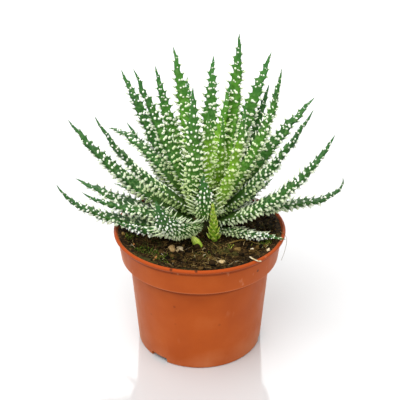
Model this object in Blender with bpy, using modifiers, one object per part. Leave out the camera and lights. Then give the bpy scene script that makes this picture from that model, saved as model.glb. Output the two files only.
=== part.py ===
"""A small rosette succulent with white-dotted leaves, in a 10.5 cm plastic nursery pot.

Units are metres and +Z is up. The origin is the middle of the flat underside of the pot's floor, and
-Y is the front. The pot, the soil, the plant's short stem, each leaf, an offset shoot and a pale new
bud are separate solids. Every leaf is a loft whose points are raised into tubercles by a formula.
"""
import math
import random
from collections import namedtuple

import bmesh
import bpy
import numpy as np
from mathutils import Matrix, Vector

MM = 0.001
GAP = 0.3 * MM

# Pot: a turned thin wall with a deep collar and a flat, rounded lip
POT_HEIGHT = 78.5 * MM
FOOT_RADIUS = 39.4 * MM
FOOT_EDGE = 1.0 * MM
WALL_TOP_RADIUS = 43.6 * MM
COLLAR_LOW_RADIUS = 48.5 * MM
COLLAR_TOP_RADIUS = 50.4 * MM
COLLAR_DEPTH = 18.0 * MM
LIP_RADIUS = 52.5 * MM
LIP_THICKNESS = 2.4 * MM
COLLAR_EDGE = 0.5 * MM
WALL = 1.3 * MM
FLOOR = 1.6 * MM
POT_STEPS = 56

# Drain notches through the edge of the floor, the first one left of the front
NOTCH_COUNT = 3
NOTCH_WIDTH = 12.5 * MM
NOTCH_HEIGHT = 3.3 * MM
NOTCH_DEPTH = 7.0 * MM
NOTCH_FIRST = -40.0

# Soil: fills the pot to just under the lip, with crumbs up to SOIL_LUMP high and SOIL_DIP deep
SOIL_TOP = 73.5 * MM
SOIL_ROOM = 0.6 * MM
SOIL_LUMP = 0.55 * MM
SOIL_DIP = 0.9 * MM
SOIL_STEPS = 40
SOIL_RINGS = 9
SOIL_SEED = 7

# Short stem: a blunt dome that every leaf grows from, standing in a plain hole in the soil
PLANT_X = 3.0 * MM
PLANT_Y = 4.5 * MM
DOME_RADIUS = 9.0 * MM
DOME_HEIGHT = 11.0 * MM
DOME_BASE = SOIL_TOP + 3.5 * MM
STEM_RADIUS = 8.5 * MM
STEM_DEPTH = 10.0 * MM

# Offset shoot and pale bud, each in its own small hole in front of the stem. Above the soil the shoot
# leans forward. Its leaflets stand in a spiral, the low ones leaning out the most
SHOOT_FOOT = (9.2 * MM, -8.9 * MM)
SHOOT_HEIGHT = 29.0 * MM
SHOOT_LEAN = 0.28
SHOOT_RADIUS = 1.9 * MM
SHOOT_LEAFLETS = 9
SHOOT_LEAFLET = 5.5 * MM
LEAFLET_SHRINK = 0.35
LEAFLET_LEAN = (42.0, 22.0)
SPIRAL_TURN = 137.5
BUD_FOOT = (-0.2 * MM, -16.2 * MM)
BUD_LENGTH = 8.5 * MM
BUD_RADIUS = 1.8 * MM
BUD_LEAN = 32.0
BUD_MIDDLE = 2.4 * MM
BUD_ROOM = 0.75 * MM
HOLE_DEPTH = 4.0 * MM
HOLE_TOP = SOIL_TOP + 5.0 * MM

# Leaves: how they leave the stem. They start SPREAD degrees apart and settle to their own heading
# over the first SETTLE of their length
STATIONS = 25
FINE_STEPS = 8
SPREAD = 23.0
SPREAD_STEPS = 300
SPREAD_SHARE = 0.25
LOWEST_START = -0.03
SETTLE = 0.35
HOOK_POWER = 6

# Girth: narrow at the stem, full from SWELL_END on, then a long taper to the tip
FOOT_WIDTH = 0.65
FOOT_THICKNESS = 0.7
SWELL_END = 0.22
TAPER = 32.0 * MM
THICKNESS = 0.42
HALF_THICKNESS = 0.56

# Tubercles: they start a little way out and shrink over the last stretch before the tip
RELIEF = 1.3 * MM
RELIEF_START = 0.10
RELIEF_RAMP = 0.08
RELIEF_FADE = 45.0 * MM
TOP_RELIEF = 0.7
KEEL_RELIEF = 0.85
RINGS = 21

# Bending clear: how far apart leaves stay, and how narrow a crowded foot may become. Leaves are held at
# the stem and bend freely from HELD + FREEING of their length on
LEAF_GAP = 1.2 * GAP
BEND_STEPS = 80
BEND_SHARE = 0.6
HELD = 0.02
FREEING = 0.25
SLIP = 0.7
SEARCH = 18.0 * MM
FACING_SHARE = 0.6
FACING_ROOM = 1.0 * MM
RISE_STEP = 3.0 * MM
NARROWEST = 0.3

# heading: degrees from the front towards +X; rise: degrees above level where the leaf starts;
# turn and lift: how much these change evenly along the leaf; hook: extra lift, all near the tip
Leaf = namedtuple("Leaf", "name heading turn rise lift hook length width")
LEAVES = [
    Leaf("leaf_back_left_a", -145, 0, 38, 12, 0, 106, 11.5),
    Leaf("leaf_back_left_b", -127, 0, 56, 5, 0, 94, 11),
    Leaf("leaf_back_left_c", -152, 0, 35, 30, 0, 96, 11.5),
    Leaf("leaf_back_a", -155, 0, 57, 9, 0, 100, 12),
    Leaf("leaf_back_b", -165, -12, 27, 17, 0, 104, 11),
    Leaf("leaf_front_tall", -7, 0, 65, 30, 0, 91, 12),
    Leaf("leaf_back_c", 175, 0, 46, 5, 0, 102, 12),
    Leaf("leaf_back_d", 146, 0, 58, 31, 0, 108, 12),
    Leaf("leaf_inner_back", 147, 0, 63, 7, 0, 79, 10),
    Leaf("leaf_back_right_a", 146, 0, 49, 3, 0, 108, 12),
    Leaf("leaf_back_right_b", 144, 0, 30, 37, 0, 94, 11),
    Leaf("leaf_right_a", 110, 0, 44, 41, 0, 98, 12),
    Leaf("leaf_right_b", 128, 0, 43, -12, 0, 99, 12),
    Leaf("leaf_right_c", 84, 0, 38, 27, 0, 91, 12),
    Leaf("leaf_right_d", 67, 38, 18, 46, 0, 94, 13),
    Leaf("leaf_right_short", 103, 0, 10, 21, 0, 58, 9),
    Leaf("leaf_right_hooked", 86, 4, 22, -22, 84, 85, 11.5),
    Leaf("leaf_front_right_low", 62, 0, 4, 5, 0, 45, 13),
    Leaf("leaf_left_drooping", -139, 0, 47, -61, 0, 97, 9),
    Leaf("leaf_left_a", -139, 0, 10, 31, 0, 83, 10.5),
    Leaf("leaf_left_b", -79, 0, 31, 35, 0, 90, 12),
    Leaf("leaf_left_c", -111, 0, 13, 39, 0, 98, 12),
    Leaf("leaf_left_thin", -129, 0, 6, -5, 0, 68, 9),
    Leaf("leaf_left_d", -113, 0, 4, 16, 0, 82, 11),
    Leaf("leaf_left_low", -81, 0, 2, 45, 0, 90, 12),
    Leaf("leaf_left_short", -81, 0, 5, 27, 0, 70, 12),
    Leaf("leaf_front_left_low", -61, 0, 1, 38, 0, 55, 13),
    Leaf("leaf_front_left_curled", -29, 0, 8, 64, 10, 65, 15),
    Leaf("leaf_front", -4, 0, 52, 27, 0, 43, 13),
    Leaf("leaf_heart_a", 10, 0, 76, 10, 0, 71, 8),
    Leaf("leaf_heart_b", 50, 0, 79, 11, 0, 65, 9),
    Leaf("leaf_heart_c", 56, 0, 60, 28, 0, 82, 10.5),
    Leaf("leaf_back_low_a", 168, 0, 6, 12, 0, 84, 10.5),
    Leaf("leaf_back_low_b", -166, 0, 8, 10, 0, 82, 10.5),
    Leaf("leaf_back_low_c", 138, 0, 4, 10, 0, 58, 10),
    Leaf("leaf_back_low_d", -150, 0, 0, 8, 0, 60, 10),
]

# Section of a leaf, as (across, up) in shares of its half width and thickness: a keeled underside from
# margin to margin, then the flat upper face. Beside each point is the way its tubercle stands out.
UNDERSIDE = [(-1, 0.42), (-0.64, -0.28), (0, -0.56), (0.64, -0.28), (1, 0.42)]
UPPER_FACE = [(0.55, 0.54), (0, 0.46), (-0.55, 0.54)]
SECTION = UNDERSIDE + UPPER_FACE
OUTWARD = [(-1, -0.1), (-0.6, -0.8), (0, -1), (0.6, -0.8), (1, -0.1), (0.15, 1), (0, 1), (-0.15, 1)]
SMOOTH_TOP = 0.4


# Scene, materials and mesh helpers

def clear_scene():
    for item in list(bpy.data.objects):
        bpy.data.objects.remove(item, do_unlink=True)


def collection(name):
    group = bpy.data.collections.new(name)
    bpy.context.scene.collection.children.link(group)
    return group


def material(name, colour, roughness):
    mat = bpy.data.materials.new(name)
    mat.use_nodes = True
    shader = mat.node_tree.nodes["Principled BSDF"]
    shader.inputs["Base Color"].default_value = (*colour, 1)
    shader.inputs["Roughness"].default_value = roughness
    shader.inputs["Metallic"].default_value = 0
    mat.diffuse_color = (*colour, 1)
    return mat


def mesh_object(name, bm, group, mat=None):
    mesh = bpy.data.meshes.new(name)
    bm.to_mesh(mesh)
    bm.free()
    obj = bpy.data.objects.new(name, mesh)
    group.objects.link(obj)
    if mat:
        mesh.materials.append(mat)
    return obj


def apply_modifiers(obj):
    """Replace the object's mesh by its evaluated one and drop its modifiers."""
    graph = bpy.context.evaluated_depsgraph_get()
    mesh = bpy.data.meshes.new_from_object(obj.evaluated_get(graph))
    old = obj.data
    obj.modifiers.clear()
    obj.data = mesh
    bpy.data.meshes.remove(old)


def turned(name, profile, steps, group, mat, centre=(0, 0)):
    """A solid turned from (radius, height) points, which run down the outer side."""
    bm = bmesh.new()
    points = [bm.verts.new((r, 0, z)) for r, z in profile]
    for first, second in zip(points, points[1:]):
        bm.edges.new((first, second))
    obj = mesh_object(name, bm, group, mat)
    screw = obj.modifiers.new("turn", "SCREW")
    screw.steps = steps
    screw.render_steps = steps
    screw.use_merge_vertices = True
    screw.merge_threshold = 0.01 * MM
    screw.use_smooth_shade = True
    apply_modifiers(obj)
    obj.data.transform(Matrix.Translation((*centre, 0)))
    return obj


def cut(obj, cutter):
    """Boolean difference with a cutter that stays in its own collection as a wire."""
    cutter.hide_render = True
    cutter.display_type = "WIRE"
    modifier = obj.modifiers.new("cut " + cutter.name, "BOOLEAN")
    modifier.operation = "DIFFERENCE"
    modifier.solver = "EXACT"
    modifier.object = cutter


def round_cutter(name, x, y, low, high, radius, group):
    bm = bmesh.new()
    bmesh.ops.create_cone(bm, cap_ends=True, segments=24, radius1=radius, radius2=radius, depth=high - low)
    bmesh.ops.translate(bm, verts=bm.verts, vec=(x, y, (low + high) / 2))
    return mesh_object(name, bm, group)


def arc(radius, height, size, start, end, count):
    """Points of a round edge in a profile, from one angle in degrees to another."""
    angles = [math.radians(start + (end - start) * k / count) for k in range(count + 1)]
    return [(radius + size * math.cos(a), height + size * math.sin(a)) for a in angles]


# Pot and soil

def make_pot(group, cutters, mat):
    lip_low = POT_HEIGHT - LIP_THICKNESS
    collar_low = POT_HEIGHT - COLLAR_DEPTH
    round_lip = LIP_THICKNESS / 2
    inside = [
        (0, FLOOR),
        (FOOT_RADIUS - WALL, FLOOR),
        (WALL_TOP_RADIUS - WALL, collar_low + WALL),
        (COLLAR_LOW_RADIUS - WALL, collar_low + WALL),
        (COLLAR_TOP_RADIUS - WALL, POT_HEIGHT - COLLAR_EDGE),
        (COLLAR_TOP_RADIUS - WALL + COLLAR_EDGE, POT_HEIGHT),
    ]
    lip = arc(LIP_RADIUS - round_lip, POT_HEIGHT - round_lip, round_lip, 90, -90, 5)
    outside = [
        (COLLAR_TOP_RADIUS + COLLAR_EDGE, lip_low),
        (COLLAR_TOP_RADIUS, lip_low - COLLAR_EDGE),
        (COLLAR_LOW_RADIUS, collar_low + COLLAR_EDGE),
        (COLLAR_LOW_RADIUS - COLLAR_EDGE, collar_low),
        (WALL_TOP_RADIUS, collar_low),
    ]
    foot = arc(FOOT_RADIUS - FOOT_EDGE, FOOT_EDGE, FOOT_EDGE, 0, -90, 3)
    pot = turned("pot", inside + lip + outside + foot + [(0, 0)], POT_STEPS, group, mat)
    for k in range(NOTCH_COUNT):
        bm = bmesh.new()
        bmesh.ops.create_cube(bm, size=1)
        height = NOTCH_HEIGHT * 2
        bmesh.ops.scale(bm, verts=bm.verts, vec=(NOTCH_WIDTH, NOTCH_DEPTH * 2, height))
        bmesh.ops.translate(bm, verts=bm.verts, vec=(0, -FOOT_RADIUS, 0))
        turn = Matrix.Rotation(math.radians(NOTCH_FIRST + 360 / NOTCH_COUNT * k), 4, "Z")
        bmesh.ops.transform(bm, matrix=turn, verts=bm.verts)
        cut(pot, mesh_object(f"notch_cutter_{k + 1}", bm, cutters))
    return pot


def make_soil(group, cutters, mat):
    """Soil in the pot, its top raised into crumbs by a seeded draw for each point."""
    step = POT_HEIGHT - COLLAR_DEPTH + WALL + SOIL_ROOM
    slope = (COLLAR_TOP_RADIUS - COLLAR_LOW_RADIUS) / COLLAR_DEPTH
    edge = COLLAR_TOP_RADIUS - WALL - SOIL_ROOM - (POT_HEIGHT - SOIL_TOP) * slope
    top = [(edge * k / SOIL_RINGS, SOIL_TOP) for k in range(SOIL_RINGS + 1)]
    outside = [
        (COLLAR_LOW_RADIUS - WALL - SOIL_ROOM, step),
        (WALL_TOP_RADIUS - WALL - SOIL_ROOM, step),
        (FOOT_RADIUS - WALL - SOIL_ROOM, FLOOR + GAP),
        (0, FLOOR + GAP),
    ]
    soil = turned("soil", top + outside, SOIL_STEPS, group, mat)
    draw = random.Random(SOIL_SEED)
    for vertex in soil.data.vertices:
        radius = math.hypot(vertex.co.x, vertex.co.y)
        if abs(vertex.co.z - SOIL_TOP) < GAP and radius < edge - GAP:
            vertex.co.z += draw.uniform(-SOIL_DIP, SOIL_LUMP)
    holes = [
        ("stem_hole", PLANT_X, PLANT_Y, STEM_DEPTH + GAP, STEM_RADIUS + GAP),
        ("shoot_hole", *SHOOT_FOOT, HOLE_DEPTH + GAP, SHOOT_RADIUS + GAP),
        ("bud_hole", *BUD_FOOT, HOLE_DEPTH + GAP, BUD_RADIUS + BUD_ROOM),
    ]
    for name, x, y, depth, radius in holes:
        cut(soil, round_cutter(name, x, y, SOIL_TOP - depth, HOLE_TOP, radius, cutters))
    return soil


# Stem, shoot and bud

def make_stem(group, mat):
    """A blunt dome on a short round stem."""
    angles = [math.radians(a) for a in range(80, -1, -10)]
    dome = [(DOME_RADIUS * math.cos(a), DOME_BASE + DOME_HEIGHT * math.sin(a)) for a in angles]
    low = SOIL_TOP - STEM_DEPTH
    neck = [(STEM_RADIUS, DOME_BASE - (DOME_RADIUS - STEM_RADIUS)), (STEM_RADIUS, low), (0, low)]
    return turned("stem", [(0, DOME_BASE + DOME_HEIGHT)] + dome + neck, 24, group, mat, (PLANT_X, PLANT_Y))


def union(obj, extras):
    """Fuse a collection of small solids into the object with one union, then remove them."""
    modifier = obj.modifiers.new("fuse", "BOOLEAN")
    modifier.operation = "UNION"
    modifier.solver = "EXACT"
    modifier.operand_type = "COLLECTION"
    modifier.collection = extras
    apply_modifiers(obj)
    for extra in list(extras.objects):
        bpy.data.objects.remove(extra, do_unlink=True)
    bpy.data.collections.remove(extras)


def make_shoot(group, mat):
    """The offset: a slim stem with small pointed leaflets in a spiral, sheared forward above the soil."""
    x, y = SHOOT_FOOT
    low = SOIL_TOP - HOLE_DEPTH
    top = SOIL_TOP + SHOOT_HEIGHT
    bend = SOIL_TOP + SOIL_LUMP
    profile = [
        (0, top),
        (SHOOT_RADIUS * 0.3, top - 2 * MM),
        (SHOOT_RADIUS * 0.75, top - 8 * MM),
        (SHOOT_RADIUS, SOIL_TOP + 4 * MM),
        (SHOOT_RADIUS, bend),
        (SHOOT_RADIUS, low),
        (0, low),
    ]
    shoot = turned("offset_shoot", profile, 10, group, mat, SHOOT_FOOT)
    leaflets = collection("leaflets")
    for k in range(SHOOT_LEAFLETS):
        share = k / (SHOOT_LEAFLETS - 1)
        size = SHOOT_LEAFLET * (1 - LEAFLET_SHRINK * share)
        bm = bmesh.new()
        bmesh.ops.create_cone(
            bm, cap_ends=True, segments=6, radius1=size * 0.3, radius2=0.2 * MM, depth=size
        )
        bmesh.ops.translate(bm, verts=bm.verts, vec=(0, 0, size / 2))
        bmesh.ops.scale(bm, verts=bm.verts, vec=(1, 0.6, 1))
        angle = LEAFLET_LEAN[0] + (LEAFLET_LEAN[1] - LEAFLET_LEAN[0]) * share
        lean = Matrix.Rotation(math.radians(angle), 4, "X")
        turn = Matrix.Rotation(math.radians(SPIRAL_TURN * k), 4, "Z")
        place = Matrix.Translation((x, y, SOIL_TOP + 3 * MM + (SHOOT_HEIGHT - 8 * MM) * share))
        bmesh.ops.transform(bm, matrix=place @ turn @ lean, verts=bm.verts)
        mesh_object(f"leaflet_{k}", bm, leaflets)
    union(shoot, leaflets)
    for vertex in shoot.data.vertices:
        vertex.co.y -= SHOOT_LEAN * max(vertex.co.z - bend, 0)
    return shoot


def make_bud(group, mat):
    """A pale new bud that leans forward to the left out of its hole."""
    bm = bmesh.new()
    bmesh.ops.create_uvsphere(bm, u_segments=12, v_segments=8, radius=1)
    bmesh.ops.scale(bm, verts=bm.verts, vec=(BUD_RADIUS, BUD_RADIUS, BUD_LENGTH / 2))
    lean = Matrix.Rotation(math.radians(-BUD_LEAN), 4, "Y")
    over = BUD_MIDDLE * math.tan(math.radians(BUD_LEAN))
    place = Matrix.Translation((BUD_FOOT[0] - over, BUD_FOOT[1], SOIL_TOP + BUD_MIDDLE))
    bmesh.ops.transform(bm, matrix=place @ lean, verts=bm.verts)
    return mesh_object("pale_bud", bm, group, mat)


# Growth of the leaves: paths, girth, and bending clear of each other

def direction(heading, rise):
    """Unit vector from a heading and a rise in degrees."""
    heading = np.radians(heading)
    rise = np.radians(rise)
    level = np.cos(rise)
    return np.stack([level * np.sin(heading), -level * np.cos(heading), np.sin(rise)], -1)


def start_directions():
    """Heading and rise in which each leaf leaves the stem, with SPREAD degrees between neighbours."""
    ways = np.array([direction(leaf.heading, leaf.rise) for leaf in LEAVES])
    for _ in range(SPREAD_STEPS):
        angle = np.degrees(np.arccos(np.clip(ways @ ways.T, -1, 1)))
        np.fill_diagonal(angle, 180)
        close = np.clip(SPREAD - angle, 0, None)[..., None]
        apart = ways[:, None] - ways[None]
        apart /= np.linalg.norm(apart, axis=-1, keepdims=True) + 1e-9
        ways = ways + np.radians(SPREAD_SHARE * (close * apart).sum(1))
        ways[:, 2] = np.clip(ways[:, 2], LOWEST_START, None)
        ways /= np.linalg.norm(ways, axis=-1, keepdims=True)
    return np.degrees(np.arctan2(ways[:, 0], -ways[:, 1])), np.degrees(np.arcsin(ways[:, 2]))


def leaf_path(leaf, start_heading, start_rise):
    """Centreline points and sideways vectors of a leaf, before it meets its neighbours."""
    count = (STATIONS - 1) * FINE_STEPS
    middle = (np.arange(count) + 0.5) / count
    off_heading = (start_heading - leaf.heading + 180) % 360 - 180
    off_rise = start_rise - leaf.rise
    settling = np.clip(1 - middle / SETTLE, 0, 1) ** 2
    heading = leaf.heading + leaf.turn * middle + off_heading * settling
    rise = leaf.rise + leaf.lift * middle + leaf.hook * middle ** HOOK_POWER + off_rise * settling
    first = direction(leaf.heading + off_heading, leaf.rise + off_rise)
    reach = np.array([DOME_RADIUS, DOME_RADIUS, DOME_HEIGHT])
    on_dome = np.array([PLANT_X, PLANT_Y, DOME_BASE]) + reach ** 2 * first / np.linalg.norm(reach * first)
    start = on_dome + first * LEAF_GAP
    steps = direction(heading, rise) * leaf.length * MM / count
    points = np.vstack([start, start + np.cumsum(steps, 0)])[::FINE_STEPS]
    share = np.linspace(0, 1, STATIONS)
    settling = np.clip(1 - share / SETTLE, 0, 1) ** 2
    side_heading = np.radians(leaf.heading + leaf.turn * share + off_heading * settling)
    side = np.stack([np.cos(side_heading), np.sin(side_heading), 0 * share], -1)
    return points, side


def leaf_girth(leaf):
    """Half width, thickness and tubercle height at each station."""
    share = np.linspace(0, 1, STATIONS)
    to_tip = leaf.length * MM * (1 - share)
    width = leaf.width * MM * (1 - np.exp(-to_tip / TAPER))
    swell = np.clip(share / SWELL_END, 0, 1)
    swell = swell * swell * (3 - 2 * swell)
    half = width / 2 * (FOOT_WIDTH + (1 - FOOT_WIDTH) * swell)
    thick = THICKNESS * width * (FOOT_THICKNESS + (1 - FOOT_THICKNESS) * swell)
    fade = np.sqrt(np.clip(to_tip / RELIEF_FADE, 0, 1))
    relief = RELIEF * fade * np.clip((share - RELIEF_START) / RELIEF_RAMP, 0, 1)
    return half, thick, relief


def leaf_frames(points, side):
    """Unit vectors along, across and out of the upper face of each leaf at its stations."""
    along = np.gradient(points, axis=-2)
    along /= np.linalg.norm(along, axis=-1, keepdims=True)
    side = side - (side * along).sum(-1, keepdims=True) * along
    side /= np.linalg.norm(side, axis=-1, keepdims=True)
    return along, side, np.cross(along, side)


def ground_height(points):
    """Top of the soil and the pot's lip below each point, far down outside the pot."""
    radius = np.hypot(points[..., 0], points[..., 1])
    lip = POT_HEIGHT + SOIL_LUMP
    soil = SOIL_TOP + SOIL_LUMP
    inside = COLLAR_TOP_RADIUS - WALL
    places = [0, inside - 5 * MM, inside - 2 * MM, LIP_RADIUS + 2 * MM, LIP_RADIUS + 3 * MM]
    return np.interp(radius, places, [soil, soil, lip, lip, -POT_HEIGHT])


def close_pairs(points, along, side, up, half, deep, length):
    """Pairs of stations of different leaves that face each other, their distance and their joint reach."""
    owner = np.repeat(np.arange(len(LEAVES)), STATIONS)
    points, along, side, up = (each.reshape(-1, 3) for each in (points, along, side, up))
    half = half.ravel()
    deep = deep.ravel()
    square = ((points[:, None] - points[None]) ** 2).sum(-1)
    one, two = np.nonzero((square < SEARCH ** 2) & (owner[:, None] < owner[None]))
    between = points[one] - points[two]
    lengthwise = (between * along[one]).sum(-1)
    between = between - lengthwise[:, None] * along[one]
    facing = np.abs(lengthwise) < FACING_SHARE * length[owner[one]] / (STATIONS - 1) + FACING_ROOM
    one, two, between = one[facing], two[facing], between[facing]
    distance = np.linalg.norm(between, axis=-1) + 1e-9
    way = between / distance[:, None]
    other = way - (way * along[two]).sum(-1)[:, None] * along[two]
    reach = np.hypot(half[one] * (way * side[one]).sum(-1), deep[one] * (way * up[one]).sum(-1))
    reach += np.hypot(half[two] * (other * side[two]).sum(-1), deep[two] * (other * up[two]).sum(-1))
    return one, two, way, distance, reach


def smooth_along(shift):
    """Even out a shift along each leaf, with its start held and its tip carried on straight."""
    for _ in range(2):
        new = shift.copy()
        new[:, 1:-1] = 0.25 * shift[:, :-2] + 0.5 * shift[:, 1:-1] + 0.25 * shift[:, 2:]
        new[:, -1] = 0.5 * shift[:, -1] + 0.5 * (2 * shift[:, -2] - shift[:, -3])
        new[:, 0] = 0
        shift = new
    return shift


def grow_leaves():
    """Paths and girths of all the leaves, bent clear of each other and pinched where bases crowd."""
    headings, rises = start_directions()
    paths = [leaf_path(*args) for args in zip(LEAVES, headings, rises)]
    rest = np.array([points for points, _ in paths])
    level_side = np.array([side for _, side in paths])
    half, thick, relief = (np.array(part) for part in zip(*[leaf_girth(leaf) for leaf in LEAVES]))
    length = np.array([leaf.length * MM for leaf in LEAVES])
    wide = half + relief
    deep = HALF_THICKNESS * thick + KEEL_RELIEF * relief
    shift = np.zeros_like(rest)
    free = np.clip((np.linspace(0, 1, STATIONS) - HELD) / FREEING, 0, 1)[None, :, None]
    for _ in range(BEND_STEPS):
        points = rest + shift
        along, side, up = leaf_frames(points, level_side)
        one, two, way, distance, reach = close_pairs(points, along, side, up, wide, deep, length)
        overlap = np.clip(reach + LEAF_GAP - distance, 0, None)
        # flat leaves slip past each other through their thin direction
        lean = up.reshape(-1, 3)[one]
        lean = lean * np.sign((way * lean).sum(-1))[:, None]
        push = way + SLIP * lean
        push *= (overlap / 2 / np.linalg.norm(push, axis=-1))[:, None]
        total = np.zeros((len(LEAVES) * STATIONS, 3))
        hits = np.zeros(len(total))
        np.add.at(total, one, push)
        np.add.at(total, two, -push)
        np.add.at(hits, one, overlap > 0)
        np.add.at(hits, two, overlap > 0)
        push = (total / np.maximum(1, hits)[:, None]).reshape(rest.shape)
        ground = ground_height(points)
        sunk = np.clip(ground + LEAF_GAP + deep - points[..., 2], 0, RISE_STEP)
        push[..., 2] += sunk * (ground > 0)
        shift = smooth_along(shift + BEND_SHARE * push * free)
    points = rest + shift
    along, side, up = leaf_frames(points, level_side)
    one, two, way, distance, reach = close_pairs(points, along, side, up, wide, deep, length)
    allowed = np.clip((distance - LEAF_GAP) / reach, NARROWEST, 1)
    girth = np.ones(len(LEAVES) * STATIONS)
    np.minimum.at(girth, one, allowed)
    np.minimum.at(girth, two, allowed)
    girth = girth.reshape(half.shape)
    pinch = girth.copy()
    pinch[:, 1:] = np.minimum(pinch[:, 1:], girth[:, :-1])
    pinch[:, :-1] = np.minimum(pinch[:, :-1], girth[:, 1:])
    return points, side, up, half * pinch, thick * pinch, relief * pinch


def make_leaf(leaf, points, side, up, half, thick, relief, group, mat):
    """Loft one leaf. Every other point of its rings stands out as a tubercle."""
    stations = np.linspace(0, 1, STATIONS)
    at = np.arange(RINGS) / RINGS

    def along_leaf(values):
        if values.ndim == 1:
            return np.interp(at, stations, values)
        return np.stack([np.interp(at, stations, values[:, k]) for k in range(3)], -1)

    centre, across, above = (along_leaf(each) for each in (points, side, up))
    wide, deep, bump = (along_leaf(each) for each in (half, thick, relief))
    count = len(SECTION)
    bm = bmesh.new()
    rings = []
    for i in range(RINGS):
        ring = []
        for j in range(count):
            on_top = j >= len(UNDERSIDE)
            raised = (i + j) % 2 == 0 and not (on_top and at[i] < SMOOTH_TOP)
            out = bump[i] * (TOP_RELIEF if on_top else 1) * raised / math.hypot(*OUTWARD[j])
            sideways = SECTION[j][0] * wide[i] + OUTWARD[j][0] * out
            upward = SECTION[j][1] * deep[i] + OUTWARD[j][1] * out
            ring.append(bm.verts.new(centre[i] + across[i] * sideways + above[i] * upward))
        rings.append(ring)
    for i in range(RINGS - 1):
        for j in range(count):
            a, b = rings[i][j], rings[i][(j + 1) % count]
            d, c = rings[i + 1][j], rings[i + 1][(j + 1) % count]
            # the cut between two lowered points leaves each raised one as a small pyramid
            faces = [(a, b, d), (b, c, d)] if (i + j) % 2 == 0 else [(a, b, c), (a, c, d)]
            for face in faces:
                bm.faces.new(face)
    tip = bm.verts.new(points[-1])
    foot = bm.verts.new(sum((vertex.co for vertex in rings[0]), Vector()) / count)
    for j in range(count):
        after = (j + 1) % count
        bm.faces.new((rings[-1][j], rings[-1][after], tip))
        bm.faces.new((rings[0][after], rings[0][j], foot))
    return mesh_object(leaf.name, bm, group, mat)


def main():
    clear_scene()
    parts = collection("potted aloe")
    cutters = collection("cutters")
    plastic = material("terracotta coloured plastic", (0.52, 0.13, 0.03), 0.45)
    peat = material("dark peat soil", (0.03, 0.02, 0.012), 0.95)
    outer_green = material("blue green leaf", (0.05, 0.17, 0.08), 0.5)
    young_green = material("young leaf", (0.16, 0.33, 0.06), 0.5)
    pale_green = material("pale shoot", (0.42, 0.50, 0.14), 0.5)
    make_pot(parts, cutters, plastic)
    make_soil(parts, cutters, peat)
    make_stem(parts, outer_green)
    make_shoot(parts, pale_green)
    make_bud(parts, pale_green)
    grown = grow_leaves()
    for k, leaf in enumerate(LEAVES):
        green = young_green if "heart" in leaf.name else outer_green
        make_leaf(leaf, *(part[k] for part in grown), parts, green)


main()
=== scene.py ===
"""Looks of a small rosette succulent with white tubercles, in a terracotta-coloured plastic pot.

Every solid of the frame is replaced by a finer piece in the same place. The leaves grow by the same
table and rules as in the part's source, and carry their tubercles and margin teeth as real relief.
"""

import math
import random
from collections import namedtuple
from functools import partial

import bmesh
import bpy
import numpy as np
from mathutils import Matrix, Vector, noise


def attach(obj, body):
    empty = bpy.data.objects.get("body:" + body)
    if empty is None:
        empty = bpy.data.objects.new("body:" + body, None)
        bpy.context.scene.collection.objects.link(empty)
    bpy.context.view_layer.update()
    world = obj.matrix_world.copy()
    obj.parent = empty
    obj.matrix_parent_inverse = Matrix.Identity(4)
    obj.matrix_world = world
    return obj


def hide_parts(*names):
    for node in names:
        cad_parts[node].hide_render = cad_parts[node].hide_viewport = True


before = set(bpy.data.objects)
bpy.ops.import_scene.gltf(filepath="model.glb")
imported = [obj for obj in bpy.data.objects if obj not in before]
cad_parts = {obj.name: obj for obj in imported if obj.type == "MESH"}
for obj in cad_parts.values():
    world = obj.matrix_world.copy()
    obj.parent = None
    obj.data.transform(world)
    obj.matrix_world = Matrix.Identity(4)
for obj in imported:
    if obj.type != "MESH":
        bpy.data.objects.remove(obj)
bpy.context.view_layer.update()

MM = 0.001
GAP = 0.3 * MM
AS_IT_IS = np.eye(3, 4)[None]

# Camera: as high and as far away as the photograph's, aimed at the middle of the object
CAMERA_RISE = 27.7
CAMERA_DISTANCE = 0.5
CAMERA_TARGET = (0.0002, 0, 0.0961)
FOCAL_PIXELS = 830
FRAME_PIXELS = 400
SENSOR = 36

# Studio: the board, the even light, and each lamp's place, aim, width, depth and power in watts
FLOOR_REACH = 3.0
FLOOR_BELOW = 0.05 * MM
WORLD_LIGHT = 0.62
LAMPS = (
    ("overhead softbox", (-0.25, -0.35, 1.0), (0, 0, 0.1), 0.8, 0.8, 12.0),
    ("front softbox", (0.45, -1.1, 0.6), (0, 0, 0.1), 0.6, 0.6, 4.0),
    ("background ceiling", (0, 3.1, 1.0), (0, 3.1, 0), 3.0, 4.2, 75.0),
)

# Pot, as in the part's source
POT_HEIGHT = 78.5 * MM
FOOT_RADIUS = 39.4 * MM
FOOT_EDGE = 1.0 * MM
WALL_TOP_RADIUS = 43.6 * MM
COLLAR_LOW_RADIUS = 48.5 * MM
COLLAR_TOP_RADIUS = 50.4 * MM
COLLAR_DEPTH = 18.0 * MM
LIP_RADIUS = 52.5 * MM
LIP_THICKNESS = 2.4 * MM
COLLAR_EDGE = 0.5 * MM
WALL = 1.3 * MM
FLOOR = 1.6 * MM
POT_STEPS = 180
SHARP_EDGE = 38
# Lines round the collar, each with its lowest and highest point, its fade and its colour: dirt and painted
# shade under the collar, a painted highlight along the collar's lower edge, and dirt and painted shade
# under the lip
COLLAR_DIRT_SHADE_HIGHLIGHT_LINES = (
    (56.6 * MM, 60.3 * MM, 1.4 * MM, "#581a05"),
    (60.7 * MM, 61.0 * MM, 0.25 * MM, "#c87248"),
    (74.0 * MM, 75.4 * MM, 0.5 * MM, "#6a2407"),
)
NOTCH_COUNT = 3
NOTCH_WIDTH = 12.5 * MM
NOTCH_HEIGHT = 3.3 * MM
NOTCH_DEPTH = 7.0 * MM
NOTCH_CORNER = 0.8 * MM
NOTCH_FIRST = -40.0

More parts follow.
